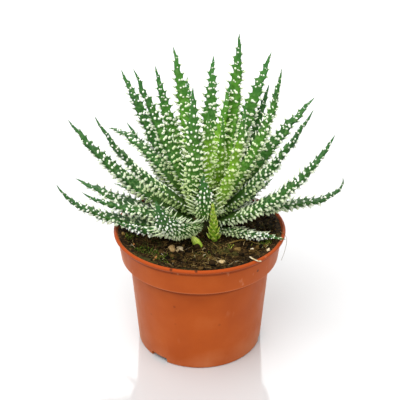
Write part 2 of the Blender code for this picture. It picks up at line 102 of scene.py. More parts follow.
# Soil, stem, shoot and bud, as in the part's source
SOIL_TOP = 73.5 * MM
SOIL_ROOM = 0.6 * MM
SOIL_LUMP = 0.55 * MM
PLANT_X = 3.0 * MM
PLANT_Y = 4.5 * MM
DOME_RADIUS = 9.0 * MM
DOME_HEIGHT = 11.0 * MM
DOME_BASE = SOIL_TOP + 3.5 * MM
STEM_RADIUS = 8.5 * MM
STEM_DEPTH = 10.0 * MM
SHOOT_FOOT = (9.2 * MM, -8.9 * MM)
SHOOT_HEIGHT = 29.0 * MM
SHOOT_LEAN = 0.28
SHOOT_RADIUS = 1.9 * MM
BUD_FOOT = (-0.2 * MM, -16.2 * MM)
BUD_LENGTH = 8.5 * MM
BUD_RADIUS = 1.8 * MM
BUD_LEAN = 32.0
BUD_MIDDLE = 2.4 * MM
HOLE_DEPTH = 4.0 * MM

# Fine soil: heaped against the wall so that only the lip stands above it. Each bump has its height,
# its size and its seed
HEAP = 4.1 * MM
HEAP_START = 39.0 * MM
HEAP_WIDTH = 9.0 * MM
SOIL_BUMPS = ((0.9 * MM, 22 * MM, 3.1), (0.9 * MM, 5 * MM, 7.7), (0.5 * MM, 1.6 * MM, 1.3))
SOIL_OVER_EDGE = 1.1 * MM
SOIL_RINGS = 72
SOIL_STEPS = 200
CLEAR_OF_SHOOT = 2.6 * MM

# Crumbs, and pebbles by place across and along, size in mm and tone
CRUMBS = 1700
CRUMB_REACH = 48.0 * MM
CRUMB_LEAST = 0.4 * MM
CRUMB_COARSE = 1.0 * MM
PEBBLES = (
    (-16.4, -20.4, 1.9, 0.45),
    (-11.0, -21.6, 1.8, 0.75),
    (-12.9, -22.6, 1.2, 0.65),
    (-39.1, -18.1, 1.0, 0.15),
    (-25.3, -31.7, 0.9, 0.2),
    (31.0, -21.6, 1.2, 0.85),
    (12.9, -34.9, 1.3, 0.6),
    (40.1, -27.2, 1.0, 0.8),
    (-30.5, 22.0, 1.7, 0.6),
    (22.0, 32.5, 1.5, 0.5),
)

# Fibres, the last of them in a tuft in front of the plant
FIBRES = 350
TUFT_FROM = 260
FIBRE_REACH = 45.0 * MM
FIBRE_POINTS = 7
LIES_OVER = 0.3 * MM

# Moss, by place across and along and reach in mm, count and tone
MOSS_REACH = 47.0 * MM
MOSS_WIDTH = 0.28 * MM
MOSS_PATCHES = (
    (-35, -22, 7, 70, 0.35),
    (-43, -10, 5, 45, 0.3),
    (-21, -31, 5, 45, 0.45),
    (-27, -24, 6, 40, 0.25),
    (38, -17, 5, 60, 0.5),
    (41, -12, 4, 35, 0.45),
    (19, -18, 2, 14, 0.85),
    (4, -30, 8, 30, 0.3),
    (-36, 25, 8, 50, 0.35),
    (30, 30, 8, 50, 0.35),
)

# Litter, as points in mm. The flake's heights start at the lip, and the grass blade's at the soil
LITTER_ON_LIP = POT_HEIGHT + 0.15 * MM
LIP_FLAKE = (
    (28.6, -38.9, 1.0), (30.2, -40.2, 0.7), (31.8, -41.4, 0.5), (33.4, -42.3, 0.35), (35.0, -42.0, 0.2)
)
LIP_WISP = (
    (48.5, -9.0, 79.3), (50.8, -11.5, 79.2), (52.0, -13.8, 77.8), (51.8, -16.4, 75.2),
    (50.8, -19.2, 72.6), (49.6, -21.4, 69.8), (48.4, -22.8, 67.5),
)
GRASS_BLADE = (
    (17.5, -15.0, 0.8), (21.2, -14.6, 1.6), (25.0, -12.6, 2.0),
    (29.0, -12.2, 1.9), (33.0, -14.0, 1.3), (36.1, -15.8, 0.6),
)

# Loose materials: name, grain size, least and most roughness, and colours by tone
LOOSE_KINDS = (
    # crumbled peat: dull and dark, its driest crumbs pale brown
    (
        "loose peat crumbs", 0.7 * MM, (0.8, 0.98),
        (0.0, "#0e0a05"), (0.45, "#312312"), (0.75, "#5e4722"), (1.0, "#8f7543"),
    ),
    # broken clay and stone: rusty and pale bits, a little smoother than the peat
    (
        "clay and limestone grit", 1.0 * MM, (0.6, 0.85),
        (0.0, "#b5601f"), (0.3, "#a9824f"), (0.6, "#c2a878"), (1.0, "#e6dcc0"),
    ),
    # dry plant fibre: brown to straw-coloured strands with a slight sheen
    (
        "dry straw and peat fibre", 1.5 * MM, (0.5, 0.8),
        (0.0, "#3b2712"), (0.35, "#6d5a2a"), (0.7, "#a98f5e"), (1.0, "#e2dcc4"),
    ),
    # fresh moss: olive tufts with some yellow-green leaves
    (
        "living moss", 1.2 * MM, (0.6, 0.85),
        (0.0, "#2d3a12"), (0.4, "#4c6420"), (0.8, "#8d9b35"), (1.0, "#b9c055"),
    ),
)

# Layers of scales on the offset shoot, and how far it leans and stands to the left
SHOOT_LAYERS = 10
SHOOT_TILT = 0.045
SHOOT_SHIFT = 0.4 * MM
# The bud's two leaves, by how far back they stand and by size, and the ribs of each
BUD_LEAVES = ((-0.35 * MM, 1.36), (0.6 * MM, 1.15))
BUD_RIBS = 9

# Growth of the leaves, as in the part's source
STATIONS = 25
STATION_SHARES = np.linspace(0, 1, STATIONS)
FINE_STEPS = 8
SPREAD = 23.0
SPREAD_STEPS = 300
SPREAD_SHARE = 0.25
LOWEST_START = -0.03
SETTLE = 0.35
HOOK_POWER = 6
FOOT_WIDTH = 0.65
FOOT_THICKNESS = 0.7
SWELL_END = 0.22
TAPER = 32.0 * MM
THICKNESS = 0.42
HALF_THICKNESS = 0.56
RELIEF = 1.3 * MM
RELIEF_START = 0.10
RELIEF_RAMP = 0.08
RELIEF_FADE = 45.0 * MM
KEEL_RELIEF = 0.85
LEAF_GAP = 1.2 * GAP
BEND_STEPS = 80
BEND_SHARE = 0.6
HELD = 0.02
FREEING = 0.25
SLIP = 0.7
SEARCH = 18.0 * MM
FACING_SHARE = 0.6
FACING_ROOM = 1.0 * MM
RISE_STEP = 3.0 * MM
NARROWEST = 0.3

# The leaves. Heading and rise are the way in which one grows, in degrees from the camera's side and from
# level. turn and lift bend it along its length, hook bends its tip up, and curl does so with the tip
# held in its place. Length and width are in mm. youth goes from 0, old and blue-green, to 1, young and
# yellow-green. bristle scales the margin teeth, wider makes up for a narrow solid, and roll turns the
# leaf about its line. A facing leaf shows its underside in front, where no neighbour narrows it, and
# one with a rough foot has tubercles on its upper face nearly from the stem
Leaf = namedtuple(
    "Leaf",
    "name heading turn rise lift hook length width youth bristle facing wider roll curl rough_foot",
    defaults=(0.12, 1.0, False, 1.0, 0, 0, False),
)
LEAVES = [
    Leaf("leaf_back_left_a", -145, 0, 38, 12, 0, 106, 11.5),
    Leaf("leaf_back_left_b", -127, 0, 56, 5, 0, 94, 11, youth=0.3),
    Leaf("leaf_back_left_c", -152, 0, 35, 30, 0, 96, 11.5, youth=0.4),
    Leaf("leaf_back_a", -155, 0, 57, 9, 0, 100, 12, youth=0.6),
    Leaf("leaf_back_b", -165, -12, 27, 17, 0, 104, 11, youth=0.25),
    Leaf("leaf_front_tall", -7, 0, 65, 30, 0, 91, 12, youth=0.45),
    Leaf("leaf_back_c", 175, 0, 46, 5, 0, 102, 12, youth=0.4),
    Leaf("leaf_back_d", 146, 0, 58, 31, 0, 108, 12, youth=0.6),
    Leaf("leaf_inner_back", 147, 0, 63, 7, 0, 79, 10, youth=0.9),
    Leaf("leaf_back_right_a", 146, 0, 49, 3, 0, 108, 12, youth=0.4),
    Leaf("leaf_back_right_b", 144, 0, 30, 37, 0, 94, 11),
    Leaf("leaf_right_a", 110, 0, 44, 41, 0, 98, 12, youth=0.45),
    Leaf("leaf_right_b", 128, 0, 43, -12, 0, 99, 12, youth=0.25),
    Leaf("leaf_right_c", 84, 0, 38, 27, 0, 91, 12),
    Leaf("leaf_right_d", 67, 38, 18, 46, 0, 94, 13, bristle=1.35, rough_foot=True),
    Leaf("leaf_right_short", 103, 0, 10, 21, 0, 58, 9),
    Leaf("leaf_right_hooked", 86, 4, 22, -22, 84, 85, 11.5, bristle=1.35, curl=35, rough_foot=True),
    Leaf("leaf_front_right_low", 62, 0, 4, 5, 0, 45, 13, bristle=1.6, facing=True, wider=1.2, roll=-18),
    Leaf("leaf_left_drooping", -139, 0, 47, -61, 0, 97, 9),
    Leaf("leaf_left_a", -139, 0, 10, 31, 0, 83, 10.5),
    Leaf("leaf_left_b", -79, 0, 31, 35, 0, 90, 12),
    Leaf("leaf_left_c", -111, 0, 13, 39, 0, 98, 12, wider=1.1),
    Leaf("leaf_left_thin", -129, 0, 6, -5, 0, 68, 9, bristle=1.3, wider=1.2, rough_foot=True),
    Leaf("leaf_left_d", -113, 0, 4, 16, 0, 82, 11, bristle=1.5, wider=1.3, rough_foot=True),
    Leaf("leaf_left_low", -81, 0, 2, 45, 0, 90, 12, bristle=1.5, curl=35, rough_foot=True),
    Leaf("leaf_left_short", -81, 0, 5, 27, 0, 70, 12, bristle=1.5, curl=15, rough_foot=True),
    Leaf("leaf_front_left_low", -61, 0, 1, 38, 0, 55, 13, bristle=1.6, facing=True, wider=1.2, roll=20),
    Leaf(
        "leaf_front_left_curled", -29, 0, 8, 64, 10, 65, 15,
        youth=0.25, bristle=2.0, facing=True, wider=1.25, roll=38
    ),
    Leaf("leaf_front", -4, 0, 52, 27, 0, 43, 13, youth=0.35, bristle=2.1, facing=True, wider=1.55),
    Leaf("leaf_heart_a", 10, 0, 76, 10, 0, 71, 8, youth=1.0, bristle=0.6, wider=1.3),
    Leaf("leaf_heart_b", 50, 0, 79, 11, 0, 65, 9, youth=0.95, bristle=0.6, wider=1.3),
    Leaf("leaf_heart_c", 56, 0, 60, 28, 0, 82, 10.5, youth=0.95, wider=1.3),
    Leaf("leaf_back_low_a", 168, 0, 6, 12, 0, 84, 10.5),
    Leaf("leaf_back_low_b", -166, 0, 8, 10, 0, 82, 10.5),
    Leaf("leaf_back_low_c", 138, 0, 4, 10, 0, 58, 10),
    Leaf("leaf_back_low_d", -150, 0, 0, 8, 0, 60, 10),
]

# A fine leaf: rings and points of its skin, the shape of its section, and how its line wanders
BODY_RINGS = 128
BODY_POINTS = 24
MARGIN_UP = 0.38
UNDER_DEPTH = 0.92
TOP_RISE = 0.18
TOP_HOLLOW = 0.8
ROOTED = 2.5 * MM
FOOT_FULLNESS = 0.85
FOOT_END = 0.6
SLIM_TIP = 0.08
WANDER = 0.55 * MM
WANDER_LENGTH = 15.0 * MM

# Tubercles: their rows stand ROW_NEAR apart at the stem and ROW_FAR apart at the tip, each on a low
# ridge. The outer ones are on the underside, the inner ones on the upper face
ROW_NEAR = 3.0 * MM
ROW_FAR = 5.6 * MM
ROW_FIRST = 0.05
ROW_LAST = 0.97
ROW_JITTER = 0.17
RIDGE = 0.6 * MM
RIDGE_START = 0.22
ROUGH_FROM = 0.12
OUTER_PITCH = 1.6 * MM
OUTER_SPREAD = 0.9
INNER_AFTER = 0.05
INNER_PITCH = 2.3 * MM
INNER_SPREAD = 0.8
INNER_JITTER = 0.2
INNER_CHANCE = 0.85
INNER_DOT = 0.95
TWIN = 0.3
TWIN_INNER = 0.5
TWIN_JITTER = 0.1

# One tubercle: its half sizes, how it leans and sinks, how pointed it is, and the shares of its length,
# width and height that the kinds have
DOT_ACROSS = 0.86 * MM
DOT_ALONG = 1.05 * MM
DOT_OUT = 1.4 * MM
DOT_LEAN = 0.3
DOT_SUNK = 0.1
DROP_POINT = 0.7
FACING_FORM = (1.2, 0.72, 1.05)
TWIN_FORM = (0.8, 0.9, 0.7)
INNER_FORM = (0.9, 1.3, 0.6)
INNER_TWIN_FORM = (0.7, 1, 0.5)

# Margin teeth, and the lobes of the margin that carry them
TOOTH_LENGTH = 3.0 * MM
TOOTH_RADIUS = 0.68 * MM
TOOTH_POINT = 0.12
TOOTH_FIRST = 0.1
TOOTH_NEAR = 2.0 * MM
TOOTH_FAR = 6.0 * MM
LOBE = 0.55
LOBE_MOST = 0.92

# The share of a leaf over which its relief fades at the tip, and how close the rows of a facing leaf are
SHORT_FADE = 0.34
FACING_FADE = 0.42
DENSE = 0.8

# Where the whites of the teeth and of the lowest tubercles are read along the leaf
TOOTH_WHITE = 0.56
FACING_TOOTH_WHITE = 0.44
DOT_WHITE = 0.42
FACING_DOT_WHITE = 0.32


# Node and colour helpers

def linear(hex_colour):
    """Linear colour of an sRGB hex value."""
    parts = [int(hex_colour[k:k + 2], 16) / 255 for k in (1, 3, 5)]
    return (*[c / 12.92 if c <= 0.04045 else ((c + 0.055) / 1.055) ** 2.4 for c in parts], 1)


def set_inputs(node, inputs):
    """Set a node's inputs: another node's output is linked, and a hex colour is turned linear."""
    for name, value in inputs.items():
        if isinstance(value, bpy.types.NodeSocket):
            node.id_data.links.new(value, node.inputs[name])
        else:
            node.inputs[name].default_value = linear(value) if isinstance(value, str) else value


def add_node(tree, kind, inputs=None, stops=(), out=0, **settings):
    """Add a shader node and give back one of its outputs. Stops fill a colour ramp."""
    new = tree.nodes.new("ShaderNode" + kind)
    for name, value in settings.items():
        setattr(new, name, value)
    set_inputs(new, inputs or {})
    for k, (place, colour) in enumerate(stops):
        stop = new.color_ramp.elements[k] if k < 2 else new.color_ramp.elements.new(place)
        stop.position = place
        stop.color = linear(colour) if isinstance(colour, str) else (colour, colour, colour, 1)
    return new.outputs[out]


def new_material(name):
    """A material, what adds a node to it, its Principled shader, and its Object coordinates."""
    mat = bpy.data.materials.new(name)
    mat.use_nodes = True
    node = partial(add_node, mat.node_tree)
    return mat, node, mat.node_tree.nodes["Principled BSDF"], node("TexCoord", out="Object")


def layered(node, colour, *layers):
    """Lay colours over a first one in order, each by the product of its shares."""
    for share, *others, over in layers:
        for other in others:
            share = node("Math", {0: share, 1: other}, operation="MULTIPLY")
        colour = node("Mix", {"Factor": share, 6: colour, 7: over}, data_type="RGBA", out=2)
    return colour


def set_surface(node, shader, colour, grain, dull, relief, own):
    """Give a shader its colour and own values. Its grain sets its roughness between two limits, and a
    relief of some strength and depth."""
    set_inputs(shader, {
        "Base Color": colour,
        "Roughness": node("MapRange", {0: grain, 3: dull[0], 4: dull[1]}),
        "Normal": node("Bump", {"Height": grain, "Strength": relief[0], "Distance": relief[1]}),
        **own,
    })


# Materials. A noise of scale 1 / size has features about that size wide. The real grain of the leaves,
# the shoot and the pot is finer, and is drawn 0.4 to 0.8 mm wide so that it shows in the render

def leaf_skin():
    """Living leaf: a waxy cuticle over green tissue. It gives a satin green with soft highlights, and
    pearly white where the tubercles stand out, with a green rim round each."""
    mat, node, shader, place = new_material("waxy leaf skin with pearly tubercles")
    youth, along, around, raised, knobbly = (
        node("Attribute", attribute_name=name, out="Fac")
        for name in ("youth", "along", "around", "raised", "knobbly")
    )
    patches = node("TexNoise", {"Vector": place, "Scale": 1 / (9 * MM), "Detail": 3.0})
    shift = node("Math", {0: patches, 1: 0.5}, operation="SUBTRACT")
    fading = node("MapRange", {0: along, 3: 1.6, 4: 0.45})
    youth = node("Math", {0: youth, 1: fading}, operation="MULTIPLY")
    young = node("Math", {0: shift, 1: 0.7, 2: youth}, operation="MULTIPLY_ADD", use_clamp=True)
    greens = [(0.0, "#265021"), (0.3, "#336422"), (0.65, "#4a7e1e"), (1.0, "#7cab26")]
    green = node("ValToRGB", {"Fac": young}, greens)
    foot = node("ValToRGB", {"Fac": along}, [(0.1, 0.8), (0.36, 0.0)])
    tip = node("ValToRGB", {"Fac": along}, [(0.7, 0.0), (0.95, 0.4)])
    dry = node("ValToRGB", {"Fac": along}, [(0.985, 0.0), (1.0, 0.8)])
    # fine pale lines along the smooth foot
    lines = node("Math", {0: around, 1: 26.0}, operation="MULTIPLY")
    drawn = node("Math", {0: along, 1: 9.0}, operation="MULTIPLY")
    strip = node("CombineXYZ", {0: lines, 1: drawn, 2: young})
    streak = node("TexNoise", {"Vector": strip, "Scale": 1.0, "Detail": 3.0})
    streak = node("ValToRGB", {"Fac": streak}, [(0.5, 0.0), (0.7, 0.55)])
    # pale mottling between the tubercles
    broken = node("TexNoise", {"Vector": place, "Scale": 1 / (2.0 * MM), "Detail": 3.0})
    mottle = node("ValToRGB", {"Fac": broken}, [(0.5, 0.0), (0.68, 0.4)])
    whites = [(0.05, "#869f5a"), (0.25, "#b2c688"), (0.42, "#d3e0ba"), (0.64, "#f4f8ec")]
    white = layered(node, node("ValToRGB", {"Fac": along}, whites), (young, 0.7, "#c6da8c"))
    cover = node("ValToRGB", {"Fac": raised}, [(0.05, 0.0), (0.5, 1.0)])
    grain = node("TexNoise", {"Vector": place, "Scale": 1 / (0.5 * MM), "Detail": 2.0})
    colour = layered(
        node, green, (foot, "#3d5c1c"), (streak, foot, "#93ac5a"), (tip, "#3f7440"), (dry, "#8a7a4a"),
        (mottle, knobbly, "#8fae6c"), (cover, white),
    )
    set_surface(node, shader, colour, grain, (0.42, 0.62), (0.35, 0.08 * MM), {
        "IOR": 1.42,
        "Specular IOR Level": 0.25,
        "Subsurface Weight": 0.12,
        "Subsurface Radius": (0.6, 1.0, 0.3),
        "Subsurface Scale": 1.2 * MM,
    })
    return mat


def shoot_skin():
    """Tender new growth: yellow-green, paler at the tips of its scales, with painted shade in dark green at
    their feet and in the gaps between them, softly lit through.
    """
    mat, node, shader, place = new_material("tender yellow-green skin")
    raised = node("Attribute", attribute_name="raised", out="Fac")
    tones = [(0.0, "#5c8c1c"), (0.35, "#9cc03a"), (0.7, "#cfdc68"), (1.0, "#eef0c0")]
    tone = node("ValToRGB", {"Fac": raised}, tones)
    patches = node("TexNoise", {"Vector": place, "Scale": 1 / (2.5 * MM), "Detail": 3.0})
    share = node("ValToRGB", {"Fac": patches}, [(0.4, 0.0), (0.7, 0.5)])
    grain = node("TexNoise", {"Vector": place, "Scale": 1 / (0.4 * MM)})
    set_inputs(shader, {
        "Base Color": layered(node, tone, (share, "#7fae2e")),
        "Roughness": node("MapRange", {0: grain, 3: 0.35, 4: 0.5}),
        "IOR": 1.42,
        "Subsurface Weight": 0.2,
        "Subsurface Radius": (0.8, 1.0, 0.2),
        "Subsurface Scale": 1.5 * MM,
    })
    return mat


def stem_skin():
    """Short stem under the leaves: olive, dry brown where old leaf feet were."""
    mat, node, shader, place = new_material("olive stem with dry leaf scars")
    patches = node("TexNoise", {"Vector": place, "Scale": 1 / (2.5 * MM), "Detail": 4.0})
    tones = [(0.38, "#22240e"), (0.5, "#4a4a1e"), (0.62, "#5b3f1e"), (0.75, "#8a7040")]
    colour = node("ValToRGB", {"Fac": patches}, tones)
    set_surface(node, shader, colour, patches, (0.5, 0.8), (0.6, 0.4 * MM), {})
    return mat


def pot_plastic():
    """Injection-moulded polypropylene, terracotta coloured: satin under a film of fine dust, with pale
    scuffs on the collar, lime low down, specks of dirt, and lines of dirt and painted shade under the
    collar and the lip, with a painted highlight along the collar's lower edge."""
    mat, node, shader, place = new_material("moulded terracotta polypropylene")
    height = node("SeparateXYZ", {0: place}, out="Z")
    cloud = node("TexNoise", {"Vector": place, "Scale": 1 / (22 * MM), "Detail": 4.0})
    tones = [(0.3, "#a94a15"), (0.55, "#b15018"), (0.8, "#b95b25")]
    colour = node("ValToRGB", {"Fac": cloud}, tones)
    lip = node("MapRange", {0: height, 1: 76.0 * MM, 2: 76.8 * MM})
    layers = [(lip, "#a34518")]
    # dirt and painted shade under the collar and the lip, and a painted highlight along the collar's lower
    # edge
    for low, high, fade, hue in COLLAR_DIRT_SHADE_HIGHLIGHT_LINES:
        above = node("MapRange", {0: height, 1: low - fade, 2: low})
        below = node("MapRange", {0: height, 1: high + 0.5 * MM, 2: high})
        layers.append((above, below, 0.5, hue))
    film_at = node("MapRange", {0: height, 1: 26.0 * MM, 2: 2.0 * MM})
    film = node("Math", {0: film_at, 1: cloud}, operation="MULTIPLY")
    film = node("MapRange", {0: film, 1: 0.25, 2: 0.75, 4: 0.35})
    stretched = node("Mapping", {"Vector": place, "Scale": (1.2, 1.2, 0.6)})
    marks = node("TexNoise", {"Vector": stretched, "Scale": 1 / (7 * MM), "Detail": 6.0})
    scuffs = node("ValToRGB", {"Fac": marks}, [(0.65, 0.0), (0.75, 0.34)])
    handled = node("MapRange", {0: height, 1: 54 * MM, 2: 61 * MM, 3: 0.2})
    cell = node("TexVoronoi", {"Vector": place, "Scale": 1 / (7 * MM)}, out="Color")
    pick = node("SeparateColor", {0: cell})
    few = node("Math", {0: pick, 1: 0.66}, operation="GREATER_THAN")
    near = node("MapRange", {0: cell.node.outputs["Distance"], 1: 0.17, 2: 0.08})
    high = node("MapRange", {0: height, 1: 20 * MM, 2: 70 * MM, 4: 0.8})
    layers += [(film, "#c88a62"), (scuffs, handled, "#dca884"), (few, near, high, "#3c2416")]
    grain = node("TexNoise", {"Vector": place, "Scale": 1 / (0.8 * MM), "Detail": 2.0})
    set_inputs(shader, {
        "Base Color": layered(node, colour, *layers),
        "Roughness": node("MapRange", {0: marks, 1: 0.3, 2: 0.8, 3: 0.36, 4: 0.55}),
        "Normal": node("Bump", {"Height": grain, "Strength": 0.2, "Distance": 0.05 * MM}),
        "IOR": 1.49,
        "Specular IOR Level": 0.12,
        "Sheen Weight": 0.24,
        "Sheen Roughness": 0.4,
        "Sheen Tint": "#e2a878",
    })
    return mat


def peat():
    """Moist peat: nearly black in the hollows, brown on the crumbs, mossy in places, matte."""
    mat, node, shader, place = new_material("moist crumbly peat")
    grain = node("TexNoise", {"Vector": place, "Scale": 1 / (1.6 * MM), "Detail": 6.0})
    tones = [(0.36, "#120d06"), (0.5, "#2b1f10"), (0.62, "#4a361c"), (0.74, "#766038")]
    colour = node("ValToRGB", {"Fac": grain}, tones)
    moss_at = node("TexNoise", {"Vector": place, "Scale": 1 / (14 * MM), "Detail": 4.0})
    mossy = node("ValToRGB", {"Fac": moss_at}, [(0.52, 0.0), (0.66, 0.55)])
    colour = layered(node, colour, (mossy, "#4a4f22"))
    set_surface(node, shader, colour, grain, (0.8, 0.98), (1.0, 0.8 * MM), {"Specular IOR Level": 0.2})
    return mat


def toned(name, grain_size, dull, *tones):
    """A loose material whose bits differ in tone: each bit's own tone picks its colour."""
    mat, node, shader, place = new_material(name)
    tone = node("Attribute", attribute_name="tone", out="Fac")
    grain = node("TexNoise", {"Vector": place, "Scale": 1 / grain_size, "Detail": 3.0})
    shift = node("Math", {0: grain, 1: 0.5}, operation="SUBTRACT")
    pick = node("Math", {0: shift, 1: 0.6, 2: tone}, operation="MULTIPLY_ADD", use_clamp=True)
    colour = node("ValToRGB", {"Fac": pick}, tones)
    set_surface(node, shader, colour, grain, dull, (0.8, 0.3 * MM), {"Specular IOR Level": 0.2})
    return mat


# Making pieces

def add_object(name, data):
    """Put a new object into the scene."""
    new = bpy.data.objects.new(name, data)
    bpy.context.scene.collection.objects.link(new)
    return new


def add_piece(name, mesh, mat, nodes=()):
    """Make a mesh a piece of the object that stands for the given nodes of the frame."""
    mesh.materials.append(mat)
    piece = add_object(name, mesh)
    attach(piece, "root")
    if nodes:
        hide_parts(*nodes)
    return piece


def close_seams(bm, distance=0.001 * MM):
    """Merge the points that lie on each other, and turn all faces outwards."""
    bmesh.ops.remove_doubles(bm, verts=bm.verts, dist=distance)
    bmesh.ops.recalc_face_normals(bm, faces=bm.faces)


def as_mesh(bm, name):
    mesh = bpy.data.meshes.new(name)
    bm.to_mesh(mesh)
    bm.free()
    mesh.shade_smooth()
    return mesh


def evaluated(source):
    """The mesh that an object gives once its modifiers or its bevel are applied."""
    graph = bpy.context.evaluated_depsgraph_get()
    return bpy.data.meshes.new_from_object(source.evaluated_get(graph))


def spun(profile, steps):
    """A closed bmesh turned round the Z axis from (radius, height) points that start and end on it."""
    bm = bmesh.new()
    points = [bm.verts.new((r, 0, z)) for r, z in profile]
    edges = [bm.edges.new(pair) for pair in zip(points, points[1:])]
    bmesh.ops.spin(
        bm, geom=points + edges, axis=(0, 0, 1), angle=math.tau, steps=steps,
        use_merge=True, use_duplicate=False,
    )
    close_seams(bm)
    return bm


def arc(radius, height, size, start, end, count):
    """Points of a round edge in a profile, from one angle in degrees to another."""
    angles = [math.radians(start + (end - start) * k / count) for k in range(count + 1)]
    return [(radius + size * math.cos(a), height + size * math.sin(a)) for a in angles]


def stamped(name, parts):
    """One mesh from (mesh, frames) parts: a copy of each mesh for each of its 3 x 4 frames, in order."""
    bm = bmesh.new()
    points = []
    for mesh, frames in parts:
        own = np.array([vertex.co for vertex in mesh.vertices])
        for _ in frames:
            bm.from_mesh(mesh)
        placed = np.einsum("nij,kj->nki", frames[:, :, :3], own) + frames[:, None, :, 3]
        points.append(placed.reshape(-1, 3))
    mesh = as_mesh(bm, name)
    mesh.vertices.foreach_set("co", np.concatenate(points).ravel())
    mesh.update()
    return mesh


def set_values(mesh, name, values):
    """Give each point of a mesh a value for its material to read."""
    layer = mesh.attributes.get(name) or mesh.attributes.new(name, "FLOAT", "POINT")
    layer.data.foreach_set("value", values)


def rough(point, size, seed):
    """A noise value for a point, with features of the given size."""
    return noise.noise(Vector(point) / size + Vector((seed, seed, seed)))


def held_in(values, low=0, high=1):
    return np.clip(values, low, high)


def unit(vectors, least=0):
    """Vectors of length 1. A least length keeps a vector of none from being divided by nothing."""
    return vectors / (np.linalg.norm(vectors, axis=-1, keepdims=True) + least)


# Pot

def make_pot(mat):
    """The pot, turned from its profile, with the drain notches cut through its foot."""
    lip_low = POT_HEIGHT - LIP_THICKNESS
    collar_low = POT_HEIGHT - COLLAR_DEPTH
    round_lip = LIP_THICKNESS / 2
    inside = [
        (0, FLOOR),
        (FOOT_RADIUS - WALL, FLOOR),
        (WALL_TOP_RADIUS - WALL, collar_low + WALL),
        (COLLAR_LOW_RADIUS - WALL, collar_low + WALL),
        (COLLAR_TOP_RADIUS - WALL, lip_low),
    ]
    mouth = arc(LIP_RADIUS - round_lip, POT_HEIGHT - COLLAR_EDGE, COLLAR_EDGE, 150, 90, 4)
    lip = arc(LIP_RADIUS - round_lip, POT_HEIGHT - round_lip, round_lip, 90, -90, 12)
    under_lip = arc(COLLAR_TOP_RADIUS + COLLAR_EDGE, lip_low - COLLAR_EDGE, COLLAR_EDGE, 90, 180, 5)
    step = arc(COLLAR_LOW_RADIUS - COLLAR_EDGE, collar_low + COLLAR_EDGE, COLLAR_EDGE, 0, -90, 5)
    corner = arc(WALL_TOP_RADIUS + COLLAR_EDGE, collar_low - COLLAR_EDGE, COLLAR_EDGE, 90, 180, 4)
    foot = arc(FOOT_RADIUS - FOOT_EDGE, FOOT_EDGE, FOOT_EDGE, 0, -90, 6)
    bm = spun(inside + mouth + lip + under_lip + step + corner + foot + [(0, 0)], POT_STEPS)
    piece = add_piece("moulded_pot", as_mesh(bm, "moulded_pot"), mat, ["pot"])
    cutters = []
    for k in range(NOTCH_COUNT):
        bm = bmesh.new()
        bmesh.ops.create_cube(bm, size=1)
        bmesh.ops.scale(bm, verts=bm.verts, vec=(NOTCH_WIDTH, NOTCH_DEPTH * 2, NOTCH_HEIGHT * 2))
        upright = [e for e in bm.edges if abs(e.verts[0].co.z - e.verts[1].co.z) < MM]
        bmesh.ops.bevel(
            bm, geom=upright, offset=NOTCH_CORNER, segments=3, profile=0.5, affect="EDGES", material=-1
        )
        bmesh.ops.translate(bm, verts=bm.verts, vec=(0, -FOOT_RADIUS, 0))
        turn = Matrix.Rotation(math.radians(NOTCH_FIRST + 360 / NOTCH_COUNT * k), 4, "Z")
        bmesh.ops.transform(bm, matrix=turn, verts=bm.verts)
        cutters.append(add_object("notch", as_mesh(bm, "notch")))
        modifier = piece.modifiers.new("cut", "BOOLEAN")
        modifier.operation = "DIFFERENCE"
        modifier.solver = "EXACT"
        modifier.object = cutters[-1]
    mesh = evaluated(piece)
    piece.modifiers.clear()
    piece.data = mesh
    for cutter in cutters:
        bpy.data.objects.remove(cutter, do_unlink=True)
    mesh.set_sharp_from_angle(angle=math.radians(SHARP_EDGE))


# Soil and what lies on it

def soil_height(x, y):
    """Height of the soil's top at a place: heaped at the wall, with gentle swells, lumps and crumbs."""
    out = held_in((math.hypot(x, y) - HEAP_START) / HEAP_WIDTH)
    heap = HEAP * out * out * (3 - 2 * out) * (0.9 + 0.25 * rough((x, y, 0), 18 * MM, 9.2))
    bumps = sum(height * rough((x, y, 0), size, seed) for height, size, seed in SOIL_BUMPS)
    return SOIL_TOP + heap + bumps * (1 - 0.4 * out)


def make_soil(mat):
    """The soil: its fine top and the plain filling of the pot below it."""
    inside = [
        (COLLAR_TOP_RADIUS - WALL - GAP, POT_HEIGHT - LIP_THICKNESS - GAP),
        (COLLAR_LOW_RADIUS - WALL - SOIL_ROOM, POT_HEIGHT - COLLAR_DEPTH + WALL + SOIL_ROOM),
        (WALL_TOP_RADIUS - WALL - SOIL_ROOM, POT_HEIGHT - COLLAR_DEPTH + WALL + SOIL_ROOM),
        (FOOT_RADIUS - WALL - SOIL_ROOM, FLOOR + GAP),
        (0, FLOOR + GAP),
    ]
    edge = COLLAR_TOP_RADIUS - WALL + SOIL_OVER_EDGE
    top = [(edge * k / SOIL_RINGS, SOIL_TOP) for k in range(SOIL_RINGS + 1)]
    bm = spun(top + inside, SOIL_STEPS)
    for vertex in bm.verts:
        if abs(vertex.co.z - SOIL_TOP) < GAP:
            vertex.co.z = soil_height(vertex.co.x, vertex.co.y)
    add_piece("potting_soil", as_mesh(bm, "potting_soil"), mat, ["soil"])


def free_of_stem(x, y):
    """True where the soil is open: not under the stem, the shoot or the bud."""
    spots = [(PLANT_X, PLANT_Y, STEM_RADIUS), (*SHOOT_FOOT, CLEAR_OF_SHOOT), (*BUD_FOOT, CLEAR_OF_SHOOT)]
    return all(math.hypot(x - sx, y - sy) > room for sx, sy, room in spots)


def on_soil(draw, reach):
    """A random place on the open soil."""
    while True:
        radius = reach * math.sqrt(draw.random())
        turn = draw.uniform(0, math.tau)
        x, y = radius * math.cos(turn), radius * math.sin(turn)
        if free_of_stem(x, y):
            return x, y


